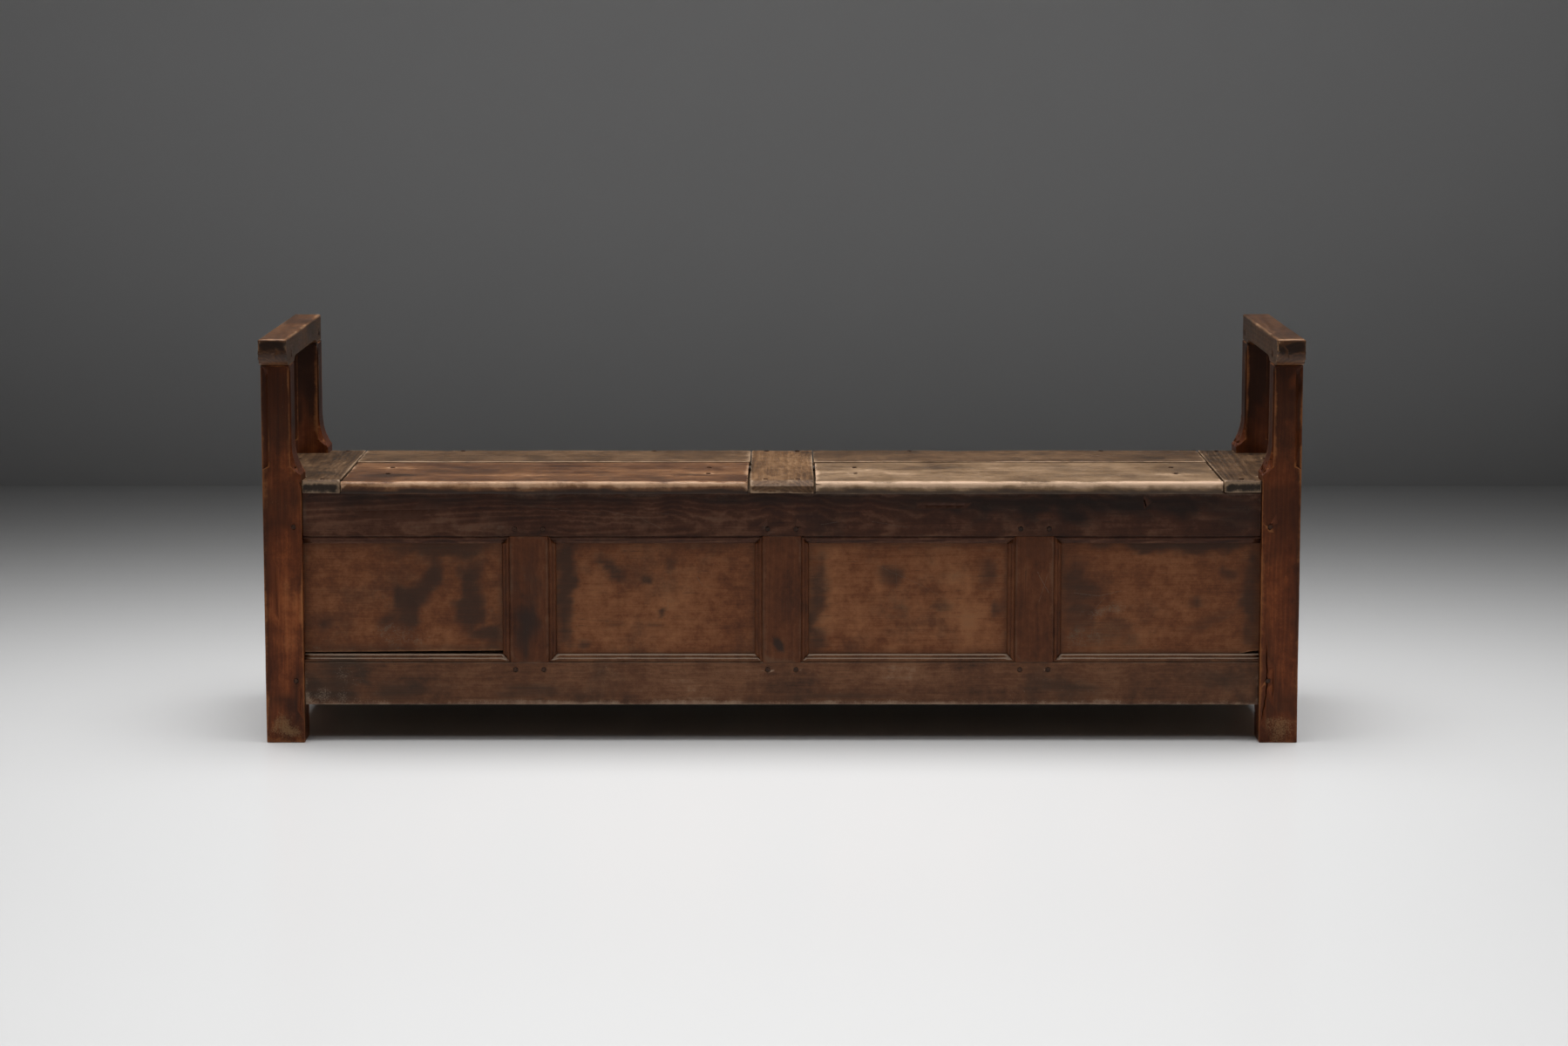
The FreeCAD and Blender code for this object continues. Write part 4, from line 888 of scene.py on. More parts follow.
    @staticmethod
    def _blade(sheet: bmesh.types.BMesh, split: Split, draw: random.Random) -> None:
        """Adds a thin jagged wedge along a split's course.

        Args:
            sheet: the cutter's mesh.
            split: its course and size.
            draw: the source of its wander.
        """
        inward = Vector(split.inward).normalized()
        course = [Vector(p) for p in split.points]
        lengths = [(b - a).length for a, b in zip(course, course[1:])]
        total = sum(lengths)
        stations = max(6, int(total / (7 * MM)))
        rings = []
        for index in range(stations + 1):
            share = index / stations
            far = share * total
            leg = 0
            while leg < len(lengths) - 1 and far > lengths[leg]:
                far -= lengths[leg]
                leg += 1
            way = (course[leg + 1] - course[leg]).normalized()
            side = way.cross(inward).normalized()
            start, end = split.tapers
            taper = min(1.0, (share + 0.02) / max(start, 0.02), (1.02 - share) / max(end, 0.02))
            half = split.width / 2 * max(0.08, taper) * (0.7 + 0.6 * draw.random())
            spot = course[leg] + way * far + side * (draw.random() - 0.5) * split.width * 0.9
            deep = split.depth * (0.35 + 0.65 * taper)
            corners = (spot - inward * 2 * MM - side * half * 1.15, spot - inward * 2 * MM + side * half * 1.15,
                       spot + inward * deep)
            rings.append([sheet.verts.new(c) for c in corners])
        for a, b in zip(rings, rings[1:]):
            for i in range(3):
                sheet.faces.new((a[i], a[(i + 1) % 3], b[(i + 1) % 3], b[i]))
        sheet.faces.new(rings[0])
        sheet.faces.new(list(reversed(rings[-1])))

    @staticmethod
    def _gnaw(sheet: bmesh.types.BMesh, spot: Vector, radius: float, draw: random.Random) -> None:
        """Adds a rough lump that bites into a corner.

        Args:
            sheet: the cutter's mesh.
            spot: its middle.
            radius: its size.
            draw: the source of its bumps.
        """
        lump = bmesh.ops.create_icosphere(sheet, subdivisions=2, radius=radius, matrix=Matrix.Translation(spot))
        for vert in lump["verts"]:
            out = vert.co - spot
            vert.co = spot + out * (0.75 + 0.5 * draw.random())

    def _dress(self, made: bpy.types.Object, body: str) -> None:
        """Gives the piece its finish and its place on the frame.

        Args:
            made: the worn piece.
            body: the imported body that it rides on.
        """
        mesh = made.data
        mesh.materials.clear()
        mesh.materials.append(self.finish.material(self.grain))
        smooth = np.ones(len(mesh.polygons), bool)
        mesh.polygons.foreach_set("use_smooth", smooth)
        mesh.polygons.foreach_set("material_index", np.zeros(len(mesh.polygons), np.int32))
        mesh.set_sharp_from_angle(angle=math.radians(38))
        level = made.modifiers.new("level", "WEIGHTED_NORMAL")
        level.keep_sharp = True
        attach(made, body)
        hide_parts(self.node)


# Pegs and nails


class Fastener(Enum):
    """What a fastener is."""

    PEG = "peg"
    NAIL = "nail"
    BRAD = "brad"


class FastenerTree:
    """A Geometry Nodes tree that sets one fastener at each point of a mesh."""

    def __init__(self, kind: Fastener, material: bpy.types.Material) -> None:
        """Builds the tree for one kind of fastener."""
        self.kind = kind
        self.tree = bpy.data.node_groups.new(f"{kind.value}s", "GeometryNodeTree")
        face = self.tree.interface
        face.new_socket("Points", in_out="INPUT", socket_type="NodeSocketGeometry")
        for name, value in (("Radius", 4 * MM), ("Length", 30 * MM), ("Head", 2 * MM)):
            face.new_socket(name, in_out="INPUT", socket_type="NodeSocketFloat").default_value = value
        face.new_socket("Seed", in_out="INPUT", socket_type="NodeSocketInt").default_value = 7
        face.new_socket("Fasteners", in_out="OUTPUT", socket_type="NodeSocketGeometry")
        sheet = NodeSheet(self.tree)
        given = sheet.add("NodeGroupInput").outputs
        shape = self._shape(sheet, given)
        aim = sheet.add("GeometryNodeInputNamedAttribute", {"data_type": "FLOAT_VECTOR"}, {"Name": "aim"})
        turn = sheet.add("FunctionNodeAlignRotationToVector", {"axis": "Z"}, {"Vector": aim.outputs[0]})
        spin = sheet.add("FunctionNodeRandomValue", {"data_type": "FLOAT"}, {2: 0.0, 3: 6.283, "Seed": given["Seed"]})
        spin_value = spin.outputs[1]
        about = sheet.add("FunctionNodeAxisAngleToRotation", {}, {"Axis": (0.0, 0.0, 1.0), "Angle": spin_value})
        settings = {"rotation_space": "LOCAL"}
        turned = sheet.add("FunctionNodeRotateRotation", settings, {0: turn.outputs[0], 1: about.outputs[0]})
        placed = sheet.add(
            "GeometryNodeInstanceOnPoints", {},
            {"Points": given["Points"], "Instance": shape, "Rotation": turned.outputs[0]},
        )
        real = sheet.add("GeometryNodeRealizeInstances", {}, {0: placed.outputs[0]})
        rough = self._roughen(sheet, real.outputs[0])
        dressed = sheet.add("GeometryNodeSetMaterial", {}, {"Geometry": rough, "Material": material})
        sheet.add("NodeGroupOutput", {}, {0: dressed.outputs[0]})

    def _shape(self, sheet: NodeSheet, given: Any) -> bpy.types.NodeSocket:
        """One fastener, its head at the origin and its shank towards -Z.

        Args:
            sheet: the tree's nodes.
            given: the tree's inputs.

        Returns:
            The socket of its mesh.
        """
        sides = 11 if self.kind is Fastener.PEG else 4
        shank = sheet.add(
            "GeometryNodeMeshCylinder", {"fill_type": "NGON"},
            {"Vertices": sides, "Radius": given["Radius"], "Depth": given["Length"]},
        )
        half = sheet.add("ShaderNodeMath", {"operation": "MULTIPLY"}, {0: given["Length"], 1: -0.5})
        down = sheet.add("ShaderNodeCombineXYZ", {}, {2: half.outputs[0]})
        body = sheet.add("GeometryNodeTransform", {}, {0: shank.outputs[0], "Translation": down.outputs[0]})
        if self.kind is not Fastener.NAIL:
            return body.outputs[0]
        wide = sheet.add("ShaderNodeMath", {"operation": "MULTIPLY"}, {0: given["Radius"], 1: 2.2})
        rose = sheet.add(
            "GeometryNodeMeshCone", {"fill_type": "NGON"},
            {"Vertices": 5, "Radius Top": given["Radius"], "Radius Bottom": wide.outputs[0], "Depth": given["Head"]},
        )
        parts = sheet.add("GeometryNodeJoinGeometry")
        self.tree.links.new(rose.outputs[0], parts.inputs[0])
        self.tree.links.new(body.outputs[0], parts.inputs[0])
        return parts.outputs[0]

    def _roughen(self, sheet: NodeSheet, mesh: bpy.types.NodeSocket) -> bpy.types.NodeSocket:
        """Moves each corner a little, as hand work leaves it."""
        place = sheet.add("GeometryNodeInputPosition").outputs[0]
        wobble = sheet.add("ShaderNodeTexNoise", {}, {"Vector": place, "Scale": 220.0}).outputs[1]
        settings = {"operation": "SUBTRACT"}
        centred = sheet.add("ShaderNodeVectorMath", settings, {0: wobble, 1: (0.5, 0.5, 0.5)}).outputs[0]
        small = sheet.add("ShaderNodeVectorMath", {"operation": "SCALE"}, {0: centred, "Scale": 0.7 * MM}).outputs[0]
        return sheet.add("GeometryNodeSetPosition", {}, {"Geometry": mesh, "Offset": small}).outputs[0]


@dataclass
class FastenerSet:
    """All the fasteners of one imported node, as one mesh."""

    node: str
    kind: Fastener
    tree: FastenerTree
    slot: str
    out: tuple[float, float, float] | None = None
    standing: float = 0.4 * MM
    seed: int = 3

    def build(self, nodes: Mapping[str, bpy.types.Object]) -> bpy.types.Object:
        """Sets the fasteners where the node's own ones are.

        Args:
            nodes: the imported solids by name.

        Returns:
            The finished object.
        """
        source = nodes[self.node]
        spots, aims, radius, length = self._read(source.data)
        mesh = bpy.data.meshes.new("points")
        mesh.from_pydata(spots, [], [])
        layer = mesh.attributes.new("aim", "FLOAT_VECTOR", "POINT")
        layer.data.foreach_set("vector", [c for aim in aims for c in aim])
        made = bpy.data.objects.new("set_" + self.node, mesh)
        bpy.context.scene.collection.objects.link(made)
        build = made.modifiers.new("fasteners", "NODES")
        build.node_group = self.tree.tree
        values = {"Radius": radius, "Length": length, "Head": 2 * MM, "Seed": self.seed}
        for item in self.tree.tree.interface.items_tree:
            if item.in_out == "INPUT" and item.name in values:
                build[item.identifier] = values[item.name]
        graph = bpy.context.evaluated_depsgraph_get()
        baked = bpy.data.meshes.new_from_object(made.evaluated_get(graph))
        made.modifiers.clear()
        made.data = baked
        tags = {"board": float(self.seed), "wear": 0.25, "stain": 0.0, "dust": 0.0, "rub": 0.0, "split": 0.0}
        for name, value in tags.items():
            layer = baked.attributes.new(name, "FLOAT", "POINT")
            layer.data.foreach_set("value", np.full(len(baked.vertices), value, np.float32))
        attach(made, source["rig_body"])
        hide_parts(self.node)
        LOG.info("%s: %d fasteners", made.name, len(spots))
        return made

    def _read(self, mesh: bpy.types.Mesh) -> tuple[list[Vector], list[Vector], float, float]:
        """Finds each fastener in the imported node.

        Args:
            mesh: the node's mesh.

        Returns:
            Head places, the ways the heads look, the shank's radius and the mean length.
        """
        sheet = bmesh.new()
        sheet.from_mesh(mesh)
        bmesh.ops.remove_doubles(sheet, verts=sheet.verts, dist=2e-5)
        seen: set[int] = set()
        spots, aims, lengths = [], [], []
        radius = 4 * MM
        for start in sheet.verts:
            if start.index in seen:
                continue
            island, queue = [], [start]
            seen.add(start.index)
            while queue:
                vert = queue.pop()
                island.append(vert.co.copy())
                for edge in vert.link_edges:
                    other = edge.other_vert(vert)
                    if other.index not in seen:
                        seen.add(other.index)
                        queue.append(other)
            points = np.array(island)
            low, high = points.min(0), points.max(0)
            axis = int(np.argmax(high - low))
            centre = (low + high) / 2
            way = self._way(points, low, high, axis, centre)
            aim = [0.0, 0.0, 0.0]
            aim[axis] = way
            head = centre.copy()
            head[axis] = (high if way > 0 else low)[axis]
            spots.append(Vector(head))
            aims.append(Vector(aim))
            lengths.append(float((high - low)[axis]))
            radius = float(sorted(high - low)[0]) / 2
        sheet.free()
        if self.kind is Fastener.NAIL:
            radius = 2 * MM * math.sqrt(2)
        if self.kind is Fastener.BRAD:
            radius *= math.sqrt(2)
        return spots, aims, radius, sum(lengths) / len(lengths)

    def _way(self, points: np.ndarray, low: np.ndarray, high: np.ndarray, axis: int, centre: np.ndarray) -> float:
        """Which end of a fastener is its head: +1 for the high end, -1 for the low one."""
        if self.out is not None:
            return 1.0 if self.out[axis] > 0 else -1.0
        if self.kind is Fastener.NAIL:
            near_high = points[points[:, axis] > (low + high)[axis] / 2]
            near_low = points[points[:, axis] <= (low + high)[axis] / 2]
            spread_high = np.ptp(near_high, axis=0).max()
            spread_low = np.ptp(near_low, axis=0).max()
            return 1.0 if spread_high > spread_low else -1.0
        return 1.0 if centre[axis] > 0 else -1.0


# The bench's sub-assemblies


@dataclass
class SubAssembly:
    """A group of boards that are made together."""

    title: str = "boards"

    def boards(self) -> list[Board]:
        """The boards of the group."""
        raise NotImplementedError

    def build(self, nodes: Mapping[str, bpy.types.Object]) -> None:
        """Makes every board of the group."""
        for board in self.boards():
            board.build(nodes)
        LOG.info("%s done", self.title)


@dataclass
class Uprights(SubAssembly):
    """The four posts and the two arm rails on them."""

    title: str = "posts and arms"
    arris: float = 1.8 * MM

    def boards(self) -> list[Board]:
        """The posts, then the arm rails."""
        wear = Wear(arris=self.arris, hollow=0.5 * MM, along=20 * MM, across=14 * MM, nibble=0.5 * MM)
        made = []
        for seed, side in enumerate(("left", "right")):
            for place in ("front", "rear"):
                node = f"{place}_post_{side}"
                low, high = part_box(node)
                middle = (low.x + high.x) / 2
                # Each post's foot: pale dust with a painted highlight on its lit cove.
                made.append(
                    Board(node, Grain.Z, POST_OAK, wear, stains_and_shade=self._stains(side, place, middle),
                          rubs_and_highlights=self._rubs(side, place, middle), dust=[Patch(middle, 0.026, 0.03, 0.020, strength=0.78)],
                          splits=self._splits(side, place, low, high), eaten=self._eaten(side, place, low, high),
                          seed=11 + seed * 2 + (place == "rear"))
                )
        arm = Wear(arris=2.6 * MM, hollow=0.9 * MM, along=14 * MM, across=10 * MM, nibble=0.9 * MM, segments=3)
        for seed, side in enumerate(("left", "right")):
            low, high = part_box(f"arm_rail_{side}")
            sign = 1 if side == "left" else -1
            inner = high.x if side == "left" else low.x
            middle = (low.x + high.x) / 2
            nose = (-9.0, low.y + 0.010)
            # The nose's front: dark end grain with painted shade on its vertical face, lighter below; its top arris:
            # wear with a painted highlight.
            dark = [Patch(middle, high.z - 0.014, 0.030, 0.008, strength=1.5, reach=nose),
                    Patch(middle, high.z - 0.032, 0.030, 0.012, strength=0.55, reach=nose)]
            rubs_and_highlights = [Patch(middle, high.z, 0.030, 0.002, strength=1.3, reach=nose),
                    Patch(inner, high.z, 0.004, 0.004, strength=0.9)]
            film = [Patch(inner, 0.722, 0.003, 0.05, strength=0.55)]
            if side == "right":
                dark.append(Patch(middle, 0.0, 0.05, 0.25, strength=0.4, above=True, reach=(high.z - 0.004, 9.0)))
            made.append(Board(f"arm_rail_{side}", Grain.Y, ARM_OAK, arm, stains_and_shade=dark, dust=film, rubs_and_highlights=rubs_and_highlights,
                              splits=[self._nose_crack(inner, sign, low, high)], seed=21 + seed))
        return made

    @staticmethod
    def _nose_crack(inner: float, sign: int, low: Vector, high: Vector) -> Split:
        """The short crack in an arm rail's nose."""
        course = ((inner - sign * 0.020, low.y - 0.001, high.z - 0.02), (inner - sign * 0.022, low.y, high.z - 0.035))
        return Split(course, (0, 1, 0), 0.7 * MM, 8 * MM)

    @staticmethod
    def _stains(side: str, place: str, middle: float) -> list[Patch]:
        """The dark patches of one post, with painted shade on its upper shaft."""
        # Painted shade: the upper shaft darker, more so on the rear posts.
        shaft = 0.75 if place == "front" else 1.1
        outer = middle + (-0.033 if side == "left" else 0.033)
        found = [Patch(middle, 0.64, 0.07, 0.10, strength=shaft), Patch(outer, 0.40, 0.008, 0.40, strength=0.75),
                 Patch(middle, 0.075, 0.05, 0.022, strength=0.6)]
        if place == "front":
            found.append(Patch(middle, 0.44, 0.035, 0.06, strength=0.62))
        if side == "right":
            found += [Patch(middle, 0.43, 0.05, 0.07, strength=0.6), Patch(middle - 0.02, 0.12, 0.014, 0.10, strength=0.55)]
        else:
            found += [Patch(middle + 0.026, 0.09, 0.010, 0.05, strength=0.7)]
        return found

    @staticmethod
    def _rubs(side: str, place: str, middle: float) -> list[Patch]:
        """The places of one post where the wax has rubbed through to a warmer colour."""
        lean = 0.006 if side == "left" else -0.004
        strength = 1.0 if side == "left" else 0.35
        return [Patch(middle + lean, 0.24, 0.018, 0.10, strength=strength),
                Patch(middle + lean, 0.345, 0.012, 0.05, strength=0.8 * strength),
                Patch(middle + lean, 0.53, 0.008, 0.05, strength=0.5 * strength)]

    @staticmethod
    def _splits(side: str, place: str, low: Vector, high: Vector) -> list[Split]:
        """The cracks of one post, set from its box."""
        if place == "rear":
            return []
        face = low.y
        if side == "right":
            return [
                Split(((low.x + 0.012, face, 0.185), (low.x + 0.014, face, 0.11), (low.x + 0.005, face, 0.04)),
                      (0, 1, 0), 2.4 * MM, 14 * MM),
                Split(((low.x + 0.025, face, 0.14), (low.x + 0.024, face, 0.08)), (0, 1, 0), 1.4 * MM, 8 * MM),
                Split(((low.x, face + 0.018, 0.16), (low.x, face + 0.016, 0.03)), (1, 0, 0), 1.6 * MM, 8 * MM),
            ]
        return [
            Split(((high.x - 0.006, face, 0.105), (high.x - 0.008, face, 0.055)), (0, 1, 0), 1.2 * MM, 8 * MM),
            Split(((high.x - 0.05, face, 0.33), (high.x - 0.047, face, 0.24)), (0, 1, 0), 0.7 * MM, 5 * MM),
        ]

    @staticmethod
    def _eaten(side: str, place: str, low: Vector, high: Vector) -> list[tuple[float, float, float, float]]:
        """The worm-eaten places of one post: x, y, z and radius."""
        if side != "right":
            return []
        toe = 0.500
        face = low.y if place == "front" else high.y
        way = 1 if place == "front" else -1
        bites = [(0.002, 0.010, 0.004, 7), (0.000, 0.024, 0.006, 8), (0.003, 0.040, 0.003, 7), (0.004, 0.052, 0.008, 6),
                 (0.008, 0.030, 0.016, 5), (0.007, 0.014, 0.018, 4)]
        return [(low.x + dx, face + way * dy, toe + dz, r * MM) for dx, dy, dz, r in bites]


@dataclass
class FrontFrame(SubAssembly):
    """The front rails and muntins."""

    title: str = "front frame"

    def boards(self) -> list[Board]:
        """The two rails, then the muntins."""
        wear = Wear(arris=1.1 * MM, hollow=0.4 * MM, along=18 * MM, across=14 * MM, nibble=0.5 * MM)
        low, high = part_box("front_top_rail")
        slot = (
            Split(((0.663, low.y, 0.452), (0.668, low.y, 0.438)), (0, 1, 0), 3.0 * MM, 12 * MM),
            Split(((0.25, low.y, 0.441), (0.34, low.y, 0.4405)), (0, 1, 0), 0.8 * MM, 5 * MM),
            Split(((-0.78, low.y, 0.431), (-0.62, low.y, 0.433)), (0, 1, 0), 0.6 * MM, 4 * MM),
        )
        # Painted shadow of the seat's overhang: a dark band along the rail's top, with two dark patches.
        shade = [Patch(0.0, 0.455, 1.2, 0.010, strength=0.7), Patch(0.55, 0.442, 0.32, 0.022, strength=0.95),
                 Patch(0.84, 0.42, 0.05, 0.03, strength=0.6)]
        rubs_and_highlights = [Patch(-0.62, 0.405, 0.14, 0.012, strength=0.8), Patch(-0.22, 0.415, 0.16, 0.014, strength=0.6),
                Patch(0.10, 0.41, 0.10, 0.012, strength=0.4)]
        top = Board("front_top_rail", Grain.X, SHADED_TOP_RAIL_OAK, wear, splits=slot, stains_and_shade=shade, rubs_and_highlights=rubs_and_highlights, seed=31)
        dust = [Patch(-0.84, 0.085, 0.05, 0.016, strength=0.5), Patch(-0.80, 0.12, 0.03, 0.02, strength=0.35),
                Patch(0.0, 0.069, 1.2, 0.004, strength=0.55)]
        stains_and_shade = [Patch(-0.82, 0.11, 0.055, 0.06, strength=0.75), Patch(-0.70, 0.095, 0.05, 0.018, strength=0.6),
                  Patch(-0.46, 0.095, 0.08, 0.014, strength=0.55), Patch(0.12, 0.085, 0.10, 0.012, strength=0.5),
                  Patch(0.52, 0.10, 0.07, 0.016, strength=0.55), Patch(0.80, 0.12, 0.06, 0.02, strength=0.5)]
        rubs_and_highlights = [Patch(-0.25, 0.12, 0.16, 0.022, strength=0.55), Patch(0.25, 0.125, 0.14, 0.018, strength=0.5)]
        bottom = Board("front_bottom_rail", Grain.X, RAIL_OAK, wear, dust=dust, stains_and_shade=stains_and_shade, rubs_and_highlights=rubs_and_highlights, seed=32)
        made = [top, bottom]
        marks = {
            "left": [Patch(-0.475, 0.21, 0.024, 0.045, strength=0.95), Patch(-0.462, 0.30, 0.016, 0.06, strength=0.5)],
            "centre": [Patch(0.0, 0.38, 0.04, 0.015, strength=0.35), Patch(-0.007, 0.183, 0.006, 0.006, strength=1.6)],
            "right": [Patch(0.47, 0.36, 0.03, 0.02, strength=0.3)],
        }
        for seed, (side, stains_and_shade) in enumerate(marks.items()):
            made.append(Board(f"front_muntin_{side}", Grain.Z, MUNTIN_OAK, wear, stains_and_shade=stains_and_shade, seed=33 + seed))
        return made


@dataclass
class Panels(SubAssembly):
    """The four front panels and the two end panels."""

    title: str = "panels"

    def boards(self) -> list[Board]:
        """The front panels with their own stains, then the end panels."""
        wear = Wear(arris=0.6 * MM, hollow=1.0 * MM, ripple=0.2 * MM, along=11 * MM, across=9 * MM)
        stains_and_shade = {
            1: [Patch(-0.675, 0.275, 0.085, 0.026, 58, 0.95), Patch(-0.572, 0.27, 0.024, 0.075, 0, 0.9),
                Patch(-0.54, 0.205, 0.03, 0.012, 12, 0.85), Patch(-0.62, 0.36, 0.09, 0.020, 0, 0.8),
                Patch(-0.842, 0.213, 0.012, 0.014, 0, 0.7), Patch(-0.53, 0.185, 0.016, 0.02, 0, 0.7),
                Patch(-0.72, 0.175, 0.05, 0.014, 0, 0.6)],
            2: [Patch(-0.398, 0.28, 0.018, 0.10, 0, 0.95), Patch(-0.318, 0.325, 0.03, 0.014, -35, 0.85),
                Patch(-0.245, 0.30, 0.013, 0.009, 0, 0.85), Patch(-0.205, 0.33, 0.012, 0.012, 0, 0.6),
                Patch(-0.222, 0.238, 0.007, 0.007, 0, 0.9), Patch(-0.365, 0.183, 0.014, 0.012, 0, 0.8),
                Patch(-0.31, 0.222, 0.022, 0.006, 0, 0.6), Patch(-0.235, 0.215, 0.02, 0.006, 0, 0.6),
                Patch(-0.24, 0.37, 0.17, 0.01, 0, 0.4)],
            3: [Patch(0.064, 0.25, 0.020, 0.10, 0, 0.85), Patch(0.205, 0.305, 0.022, 0.018, -30, 0.75),
                Patch(0.29, 0.25, 0.018, 0.016, 0, 0.7), Patch(0.378, 0.32, 0.016, 0.035, 0, 0.65),
                Patch(0.4, 0.245, 0.012, 0.016, 0, 0.7), Patch(0.22, 0.245, 0.014, 0.02, 0, 0.55),
                Patch(0.2, 0.37, 0.16, 0.01, 0, 0.5)],
            4: [Patch(0.545, 0.26, 0.028, 0.09, 0, 0.75), Patch(0.60, 0.20, 0.05, 0.03, 0, 0.55),
                Patch(0.865, 0.27, 0.018, 0.10, 0, 0.8), Patch(0.825, 0.31, 0.018, 0.02, 0, 0.75),
                Patch(0.765, 0.26, 0.014, 0.014, 0, 0.75), Patch(0.72, 0.375, 0.17, 0.018, 0, 1.0),
                Patch(0.79, 0.225, 0.05, 0.012, 25, 0.5)],
        }
        dust = {
            1: [Patch(-0.70, 0.20, 0.06, 0.018, 0, 0.42), Patch(-0.86, 0.165, 0.03, 0.015, 0, 0.4)],
            4: [Patch(0.60, 0.245, 0.06, 0.012, 8, 0.5), Patch(0.56, 0.19, 0.04, 0.03, 0, 0.42)],
        }
        rubs_and_highlights = {
            1: [Patch(-0.82, 0.27, 0.06, 0.05, 0, 0.3), Patch(-0.63, 0.19, 0.04, 0.03, 0, 0.6)],
            2: [Patch(-0.22, 0.26, 0.10, 0.06, 0, 0.5), Patch(-0.27, 0.195, 0.11, 0.03, 0, 0.75)],
            3: [Patch(0.22, 0.23, 0.14, 0.06, 0, 0.75), Patch(0.10, 0.30, 0.05, 0.05, 0, 0.5)],
            4: [Patch(0.70, 0.24, 0.10, 0.04, 0, 0.5), Patch(0.58, 0.20, 0.06, 0.03, 0, 0.5)],
        }
        made = [
            Board(f"front_panel_{n}", Grain.X, PANEL_OAK, wear, stains_and_shade=stains_and_shade[n], dust=dust.get(n, ()),
                  rubs_and_highlights=rubs_and_highlights[n], edge_shade=0.5, seed=40 + n)
            for n in range(1, 5)
        ]
        side = Wear(arris=0.6 * MM, hollow=0.9 * MM, along=20 * MM, across=16 * MM)
        made += [Board(f"side_panel_{s}", Grain.Z, PANEL_OAK, side, seed=46 + n) for n, s in enumerate(("left", "right"))]
        return made


@dataclass
class SideFrames(SubAssembly):
    """The rails of both ends."""

    title: str = "end frames"

    def boards(self) -> list[Board]:
        """The top and bottom rails of both ends."""
        wear = Wear(arris=1.2 * MM, along=22 * MM, across=18 * MM)
        return [
            Board(f"side_{place}_rail_{side}", Grain.Y, RAIL_OAK, wear, seed=50 + 2 * a + b)
            for a, place in enumerate(("top", "bottom")) for b, side in enumerate(("left", "right"))
        ]


@dataclass
class Seat(SubAssembly):
    """The fixed boards of the seat."""

    title: str = "seat"
    arris: float = 2.4 * MM

    def boards(self) -> list[Board]:
        """The end boards, the centre board and the boards behind the lids."""
        wear = Wear(arris=self.arris, hollow=0.9 * MM, ripple=0.5 * MM, along=12 * MM, across=9 * MM, nibble=1.3 * MM)
        rear = Wear(arris=2.0 * MM, hollow=0.9 * MM, ripple=0.6 * MM, along=14 * MM, across=9 * MM, nibble=1.6 * MM)
        made = []
        for n, (node, finish, strength) in enumerate(
            (("centre_board", CENTRE_OAK, 0.5), ("end_board_left", SEAT_OAK, 1.4), ("end_board_right", SEAT_OAK, 1.5))
        ):
            low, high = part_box(f"seat_{node}")
            middle, front = (low.x + high.x) / 2, (-9.0, low.y + 0.004)
            # Painted shade on each board's front face, and a painted highlight with wear along its top front edge.
            shade = [Patch(middle, low.z + 0.008, 0.09, 0.013, strength=strength, reach=front)]
            rubs_and_highlights = [Patch(middle, low.y, 0.09, 0.006, strength=0.9, above=True, reach=(high.z - 0.005, 9.0))]
            made.append(Board(f"seat_{node}", Grain.Y, finish, wear, stains_and_shade=shade, rubs_and_highlights=rubs_and_highlights, seed=60 + n))
        for n, side in enumerate(("left", "right")):
            low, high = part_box(f"seat_rear_board_{side}")
            start = low.x + 0.05 if side == "left" else high.x - 0.06
            end = start + (0.24 if side == "left" else -0.16)
            cracks = [Split(((start, 0.12, high.z), (end, 0.125, high.z)), (0, 0, -1), 2.0 * MM, 10 * MM)]
            made.append(Board(f"seat_rear_board_{side}", Grain.X, SEAT_OAK, rear, splits=cracks, seed=63 + n))
        return made


